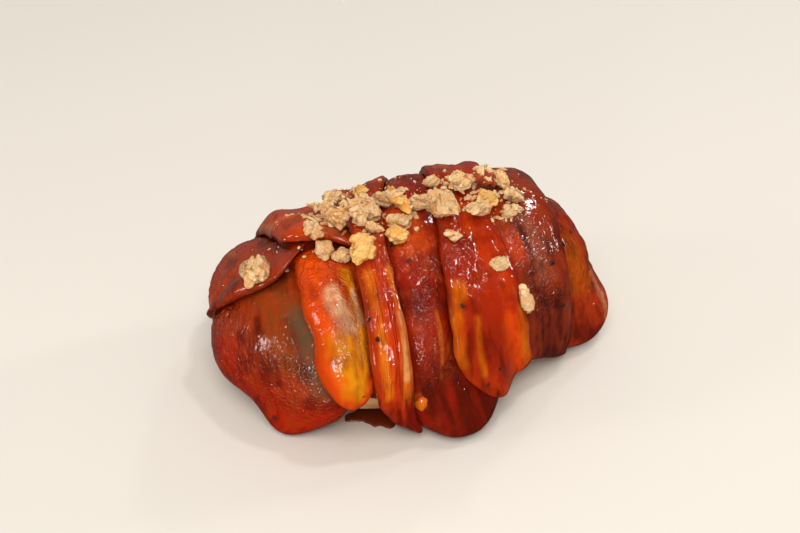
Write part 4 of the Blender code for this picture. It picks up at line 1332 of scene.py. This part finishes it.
def make_meat_group():
    """Colour: lean and dark in fibres along the rasher, then each streak's colour by its mask times the
    fibres' fray, then painted shade that darkens it towards the rim, in the seams. Roughness: a little
    uneven.
    Height: see meat_height."""
    inputs = [(key, "NodeSocketColor", (0.5, 0.1, 0.05, 1)) for key in MEAT_COLOURS]
    inputs += [("Mottle", "NodeSocketFloat", 0.3), ("Wrinkles", "NodeSocketFloat", 0.5)]
    outputs = [("Color", "NodeSocketColor"), ("Roughness", "NodeSocketFloat"), ("Height", "NodeSocketFloat")]
    tree, given, out = new_group("glazed_meat", inputs, outputs)
    place = node(tree, "ShaderNodeTexCoord").outputs["Object"]
    flat = node(tree, "ShaderNodeAttribute", attribute_name="flat").outputs["Vector"]
    broad_fibre = stretched_noise(tree, flat, (0.55, 0.10, 1.0), 1.0)
    fine_fibre = stretched_noise(tree, flat, (1.6, 0.25, 1.0), 1.0)
    blotch = noise(tree, place, 300.0, 4.0)
    broad = noise(tree, place, 80.0, 2.0)
    fray = math(tree, "MULTIPLY_ADD", broad_fibre, 2.4, -0.35)
    fray = math(tree, "ADD", fray, math(tree, "MULTIPLY_ADD", fine_fibre, 0.5, -0.25))
    fray = math(tree, "ADD", fray, math(tree, "MULTIPLY_ADD", blotch, 0.9, -0.45))
    fray = math(tree, "MAXIMUM", fray, 0.0)
    dark = math(tree, "ADD", ramp(tree, broad_fibre, 0.48, 0.72), ramp(tree, broad, 0.45, 0.68))
    dark = math(tree, "MULTIPLY", dark, given.outputs["Mottle"])
    colour = blend_colour(tree, dark, given.outputs["Lean"], given.outputs["Dark"])
    veil = math(tree, "ADD", math(tree, "MULTIPLY", broad_fibre, 0.4), math(tree, "MULTIPLY", blotch, 0.6))
    for key in ("Bright", "Olive", "Fat", "Pale", "Dark"):
        if key == "Dark":
            veiled = ramp(tree, veil, 0.49, 0.66, 0.0, 0.35)
            colour = blend_colour(tree, veiled, colour, given.outputs["Bright"])
        frayed = math(tree, "MULTIPLY", mask_of(tree, key.lower()), fray)
        colour = blend_colour(tree, math(tree, "MINIMUM", frayed, 1.0), colour, given.outputs[key])
    thick = math(tree, "ADD", broad, math(tree, "MULTIPLY", broad_fibre, 0.6))
    thick = ramp(tree, thick, 0.78, 1.0, 0.0, 0.55)
    colour = blend_colour(tree, thick, colour, given.outputs["Dark"])
    # Painted shade in the seams: the colour darkens towards each rasher's rim.
    painted_seam_shade = math(tree, "MULTIPLY", mask_of(tree, "rim"), 0.4)
    colour = blend_colour(tree, painted_seam_shade, colour, given.outputs["Dark"])
    tree.links.new(colour, out.inputs["Color"])
    rough = ramp(tree, blotch, 0.3, 0.7, 0.06, 0.15)
    rough = math(tree, "ADD", rough, math(tree, "MULTIPLY", mask_of(tree, "grain"), 0.04))
    tree.links.new(rough, out.inputs["Roughness"])
    height = math(tree, "MULTIPLY", meat_height(tree, place, flat, broad_fibre), given.outputs["Wrinkles"])
    tree.links.new(height, out.inputs["Height"])
    return tree


meat_group = make_meat_group()

# %% Meat finishes
MEAT = {
    # node: lean, bright, fat, olive, pale and dark
    "bacon_rasher_1": ((156, 52, 15), (176, 34, 2), (205, 120, 30), (114, 66, 22),
                       (94, 74, 50), (84, 18, 6)),
    # The golden rasher's pale colour is partly pale fat and partly the colour of its painted sheen.
    "bacon_rasher_2": ((200, 66, 12), (226, 76, 6), (218, 140, 12), (172, 124, 76),
                       (222, 178, 130), (120, 24, 6)),
    "bacon_rasher_3": ((160, 54, 22), (180, 60, 20), (190, 110, 50), (140, 80, 44),
                       (192, 132, 98), (92, 26, 14)),
    "bacon_rasher_4": ((148, 28, 6), (222, 78, 12), (200, 112, 30), (116, 56, 14),
                       (146, 62, 34), (92, 18, 5)),
    "bacon_rasher_5": ((190, 62, 16), (220, 86, 20), (216, 120, 40), (150, 80, 40),
                       (208, 142, 96), (104, 26, 10)),
    "bacon_rasher_6": ((184, 52, 6), (192, 50, 4), (224, 118, 18), (160, 80, 20),
                       (220, 160, 100), (112, 18, 4)),
    # The maroon rasher's pale colour is pinkish, the colour of the painted sheen on its upper pale streak.
    "bacon_rasher_7": ((142, 48, 22), (184, 58, 12), (190, 90, 40), (128, 60, 24),
                       (160, 96, 70), (74, 22, 14)),
    "bacon_rasher_8": ((164, 50, 14), (184, 54, 14), (200, 110, 30), (176, 80, 8),
                       (190, 120, 80), (96, 22, 8)),
    "bacon_rasher_9": ((160, 38, 8), (208, 66, 5), (216, 106, 6), (150, 80, 30),
                       (190, 96, 66), (108, 18, 3)),
}
MEAT_BUMP = 0.0014     # height in m that a bump of 1 stands for


def new_material(name):
    """A material with its node tree and its shader."""
    material = bpy.data.materials.new(name)
    material.use_nodes = True
    return material, material.node_tree, material.node_tree.nodes["Principled BSDF"]


def make_meat(name, colours, wrinkles=0.6, gloss=0.7):
    """Wet meat: a glossy body with light scattered inside, under a thin coat of glaze. gloss sets how
    strongly both reflect."""
    material, tree, shader = new_material(name)
    group = node(tree, "ShaderNodeGroup", node_tree=meat_group)
    for key, colour in zip(MEAT_COLOURS, colours):
        group.inputs[key].default_value = linear(*colour)
    group.inputs["Mottle"].default_value = 0.35
    group.inputs["Wrinkles"].default_value = wrinkles
    bump = node(tree, "ShaderNodeBump", {"Height": group.outputs["Height"]})
    bump.inputs["Strength"].default_value = 1.0
    bump.inputs["Distance"].default_value = MEAT_BUMP
    tree.links.new(group.outputs["Color"], shader.inputs["Base Color"])
    tree.links.new(group.outputs["Roughness"], shader.inputs["Roughness"])
    tree.links.new(bump.outputs["Normal"], shader.inputs["Normal"])
    shader.inputs["Specular IOR Level"].default_value = gloss
    shader.inputs["Subsurface Weight"].default_value = 0.18
    shader.inputs["Subsurface Radius"].default_value = (1.0, 0.28, 0.12)
    shader.inputs["Subsurface Scale"].default_value = 0.0022
    shader.inputs["Coat Weight"].default_value = 0.28 * gloss
    shader.inputs["Coat Roughness"].default_value = 0.07
    shader.inputs["Coat IOR"].default_value = 1.45
    return material


SAUCE_COLOURS = ((104, 22, 6), (150, 34, 6), (170, 70, 10), (90, 30, 8), (150, 60, 30), (62, 12, 4))
# The pool's dark colours are partly painted shade under the overhang.
SHADED_POOL_COLOURS = ((112, 40, 14), (132, 52, 16), (170, 70, 10), (90, 30, 8), (150, 60, 30), (70, 22, 8))
FAT_COLOURS = ((214, 104, 24), (190, 56, 8), (170, 70, 10), (90, 30, 8), (150, 60, 30), (120, 30, 6))
SAUCES = (
    # piece, finish, colours, wrinkles, gloss
    (crease_sauce, "set_sauce", SAUCE_COLOURS, 0.3, 0.1),
    (bubble_ring, "ring_sauce", SAUCE_COLOURS, 0.3, 0.7),
    (shaded_sauce_pool, "shaded_thin_sauce", SHADED_POOL_COLOURS, 0.15, 0.7),
    (fat_drop, "melted_fat", FAT_COLOURS, 0.8, 0.7),
)
for piece, finish, colours, wrinkles, gloss in SAUCES:
    piece.data.materials.append(make_meat(finish, colours, wrinkles, gloss))
    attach(piece, "root")

for key, piece in rashers.items():
    piece.data.materials.append(make_meat(piece.name + "_meat", MEAT[key]))
    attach(piece, "root")
    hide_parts(key)


def make_chicken_finish():
    """Pale cooked meat, stained by sauce: fibres of noise stretched along the roll."""
    material, tree, shader = new_material("cooked_chicken")
    place = node(tree, "ShaderNodeTexCoord").outputs["Object"]
    stretched = node(tree, "ShaderNodeMapping", {"Vector": place, "Scale": (0.12, 1.0, 0.3)}).outputs[0]
    fibre = noise(tree, stretched, 800.0, 3.0)
    stain = noise(tree, place, 70.0, 2.0)
    colour = blend_colour(tree, ramp(tree, fibre, 0.35, 0.65), linear(188, 134, 86), linear(206, 156, 106))
    colour = blend_colour(tree, ramp(tree, stain, 0.46, 0.70, 0.0, 0.4), colour, linear(160, 78, 36))
    tree.links.new(colour, shader.inputs["Base Color"])
    bump = node(tree, "ShaderNodeBump", {"Height": fibre})
    bump.inputs["Distance"].default_value = 0.0003
    tree.links.new(bump.outputs["Normal"], shader.inputs["Normal"])
    tree.links.new(ramp(tree, stain, 0.3, 0.7, 0.5, 0.3), shader.inputs["Roughness"])
    shader.inputs["Subsurface Weight"].default_value = 0.2
    shader.inputs["Subsurface Radius"].default_value = (1.0, 0.5, 0.25)
    shader.inputs["Subsurface Scale"].default_value = 0.002
    shader.inputs["Coat Weight"].default_value = 0.4
    shader.inputs["Coat Roughness"].default_value = 0.15
    return material


chicken.data.materials.append(make_chicken_finish())
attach(chicken, "root")
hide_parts("chicken_fillet")


# %% Crumb finishes
def make_crumb_group():
    """Colour: body to shade by the crevice mask, which is painted shade in the crevices and low places, toast
    in blotches, dark specks. Height: grains.
    """
    inputs = [(key, "NodeSocketColor", (0.7, 0.5, 0.3, 1)) for key in ("Body", "Shade", "Toast")]
    inputs += [("Toasted", "NodeSocketFloat", 0.5)]
    outputs = [("Color", "NodeSocketColor"), ("Height", "NodeSocketFloat")]
    tree, given, out = new_group("dry_crumb", inputs, outputs)
    place = node(tree, "ShaderNodeTexCoord").outputs["Object"]
    blotch = noise(tree, place, 330.0, 3.0)
    grain = noise(tree, place, 1900.0, 4.0)
    # Painted shade: the crevice mask darkens the crumb in its gaps and low places.
    shade = math(tree, "MULTIPLY", mask_of(tree, "crevice"), ramp(tree, grain, 0.3, 0.6, 0.5, 1.0))
    colour = blend_colour(tree, shade, given.outputs["Body"], given.outputs["Shade"])
    toast = math(tree, "MULTIPLY", ramp(tree, blotch, 0.45, 0.65), given.outputs["Toasted"])
    colour = blend_colour(tree, toast, colour, given.outputs["Toast"])
    colour = blend_colour(tree, ramp(tree, grain, 0.60, 0.75, 0.0, 0.4), colour, given.outputs["Shade"])
    tree.links.new(colour, out.inputs["Color"])
    tree.links.new(grain, out.inputs["Height"])
    return tree


crumb_group = make_crumb_group()
CRUMB_LOOKS = {
    # slot: body, shade, toast, amount of toast, roughness, coat
    "crumb": ((244, 208, 156), (152, 102, 58), (228, 156, 80), 0.5, 0.8, 0.0),
    "golden_crumb": ((252, 206, 122), (186, 120, 52), (238, 156, 54), 0.6, 0.7, 0.05),
    "glazed_crumb": ((255, 238, 178), (226, 140, 50), (238, 126, 30), 0.6, 0.4, 0.4),
    "red_crumb": ((176, 54, 26), (96, 24, 14), (206, 84, 28), 0.5, 0.35, 0.7),
}


def make_crumb_finish(slot):
    """Dry bread: the crumb group's colour, a rough shader and a strong small bump."""
    body, shade, toast, toasted, roughness, coat = CRUMB_LOOKS[slot]
    material, tree, shader = new_material(slot + "_finish")
    group = node(tree, "ShaderNodeGroup", node_tree=crumb_group)
    for key, colour in (("Body", body), ("Shade", shade), ("Toast", toast)):
        group.inputs[key].default_value = linear(*colour)
    group.inputs["Toasted"].default_value = toasted
    bump = node(tree, "ShaderNodeBump", {"Height": group.outputs["Height"]})
    bump.inputs["Distance"].default_value = 0.0005
    tree.links.new(group.outputs["Color"], shader.inputs["Base Color"])
    tree.links.new(bump.outputs["Normal"], shader.inputs["Normal"])
    shader.inputs["Roughness"].default_value = roughness
    shader.inputs["Coat Weight"].default_value = coat
    shader.inputs["Coat Roughness"].default_value = 0.15
    shader.inputs["Subsurface Weight"].default_value = 0.1
    shader.inputs["Subsurface Radius"].default_value = (1.0, 0.6, 0.3)
    shader.inputs["Subsurface Scale"].default_value = 0.001
    return material


for slot, (piece, nodes) in crumbs.items():
    piece.data.materials.append(make_crumb_finish(slot))
    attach(piece, "root")
    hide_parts(*nodes)

for piece in (crumb_shreds, fine_crumbs):
    piece.data.materials.append(bpy.data.materials["crumb_finish"])
    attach(piece, "root")


def make_fleck_finish():
    """Almost black flecks under the same glaze, browner in places."""
    material, tree, shader = new_material("dark_flecks")
    place = node(tree, "ShaderNodeTexCoord").outputs["Object"]
    patch = noise(tree, place, 900.0, 2.0)
    colour = blend_colour(tree, ramp(tree, patch, 0.4, 0.6), linear(34, 14, 8), linear(70, 28, 12))
    tree.links.new(colour, shader.inputs["Base Color"])
    shader.inputs["Roughness"].default_value = 0.5
    shader.inputs["Coat Weight"].default_value = 0.6
    shader.inputs["Coat Roughness"].default_value = 0.1
    return material


glaze_flecks.data.materials.append(make_fleck_finish())
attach(glaze_flecks, "root")
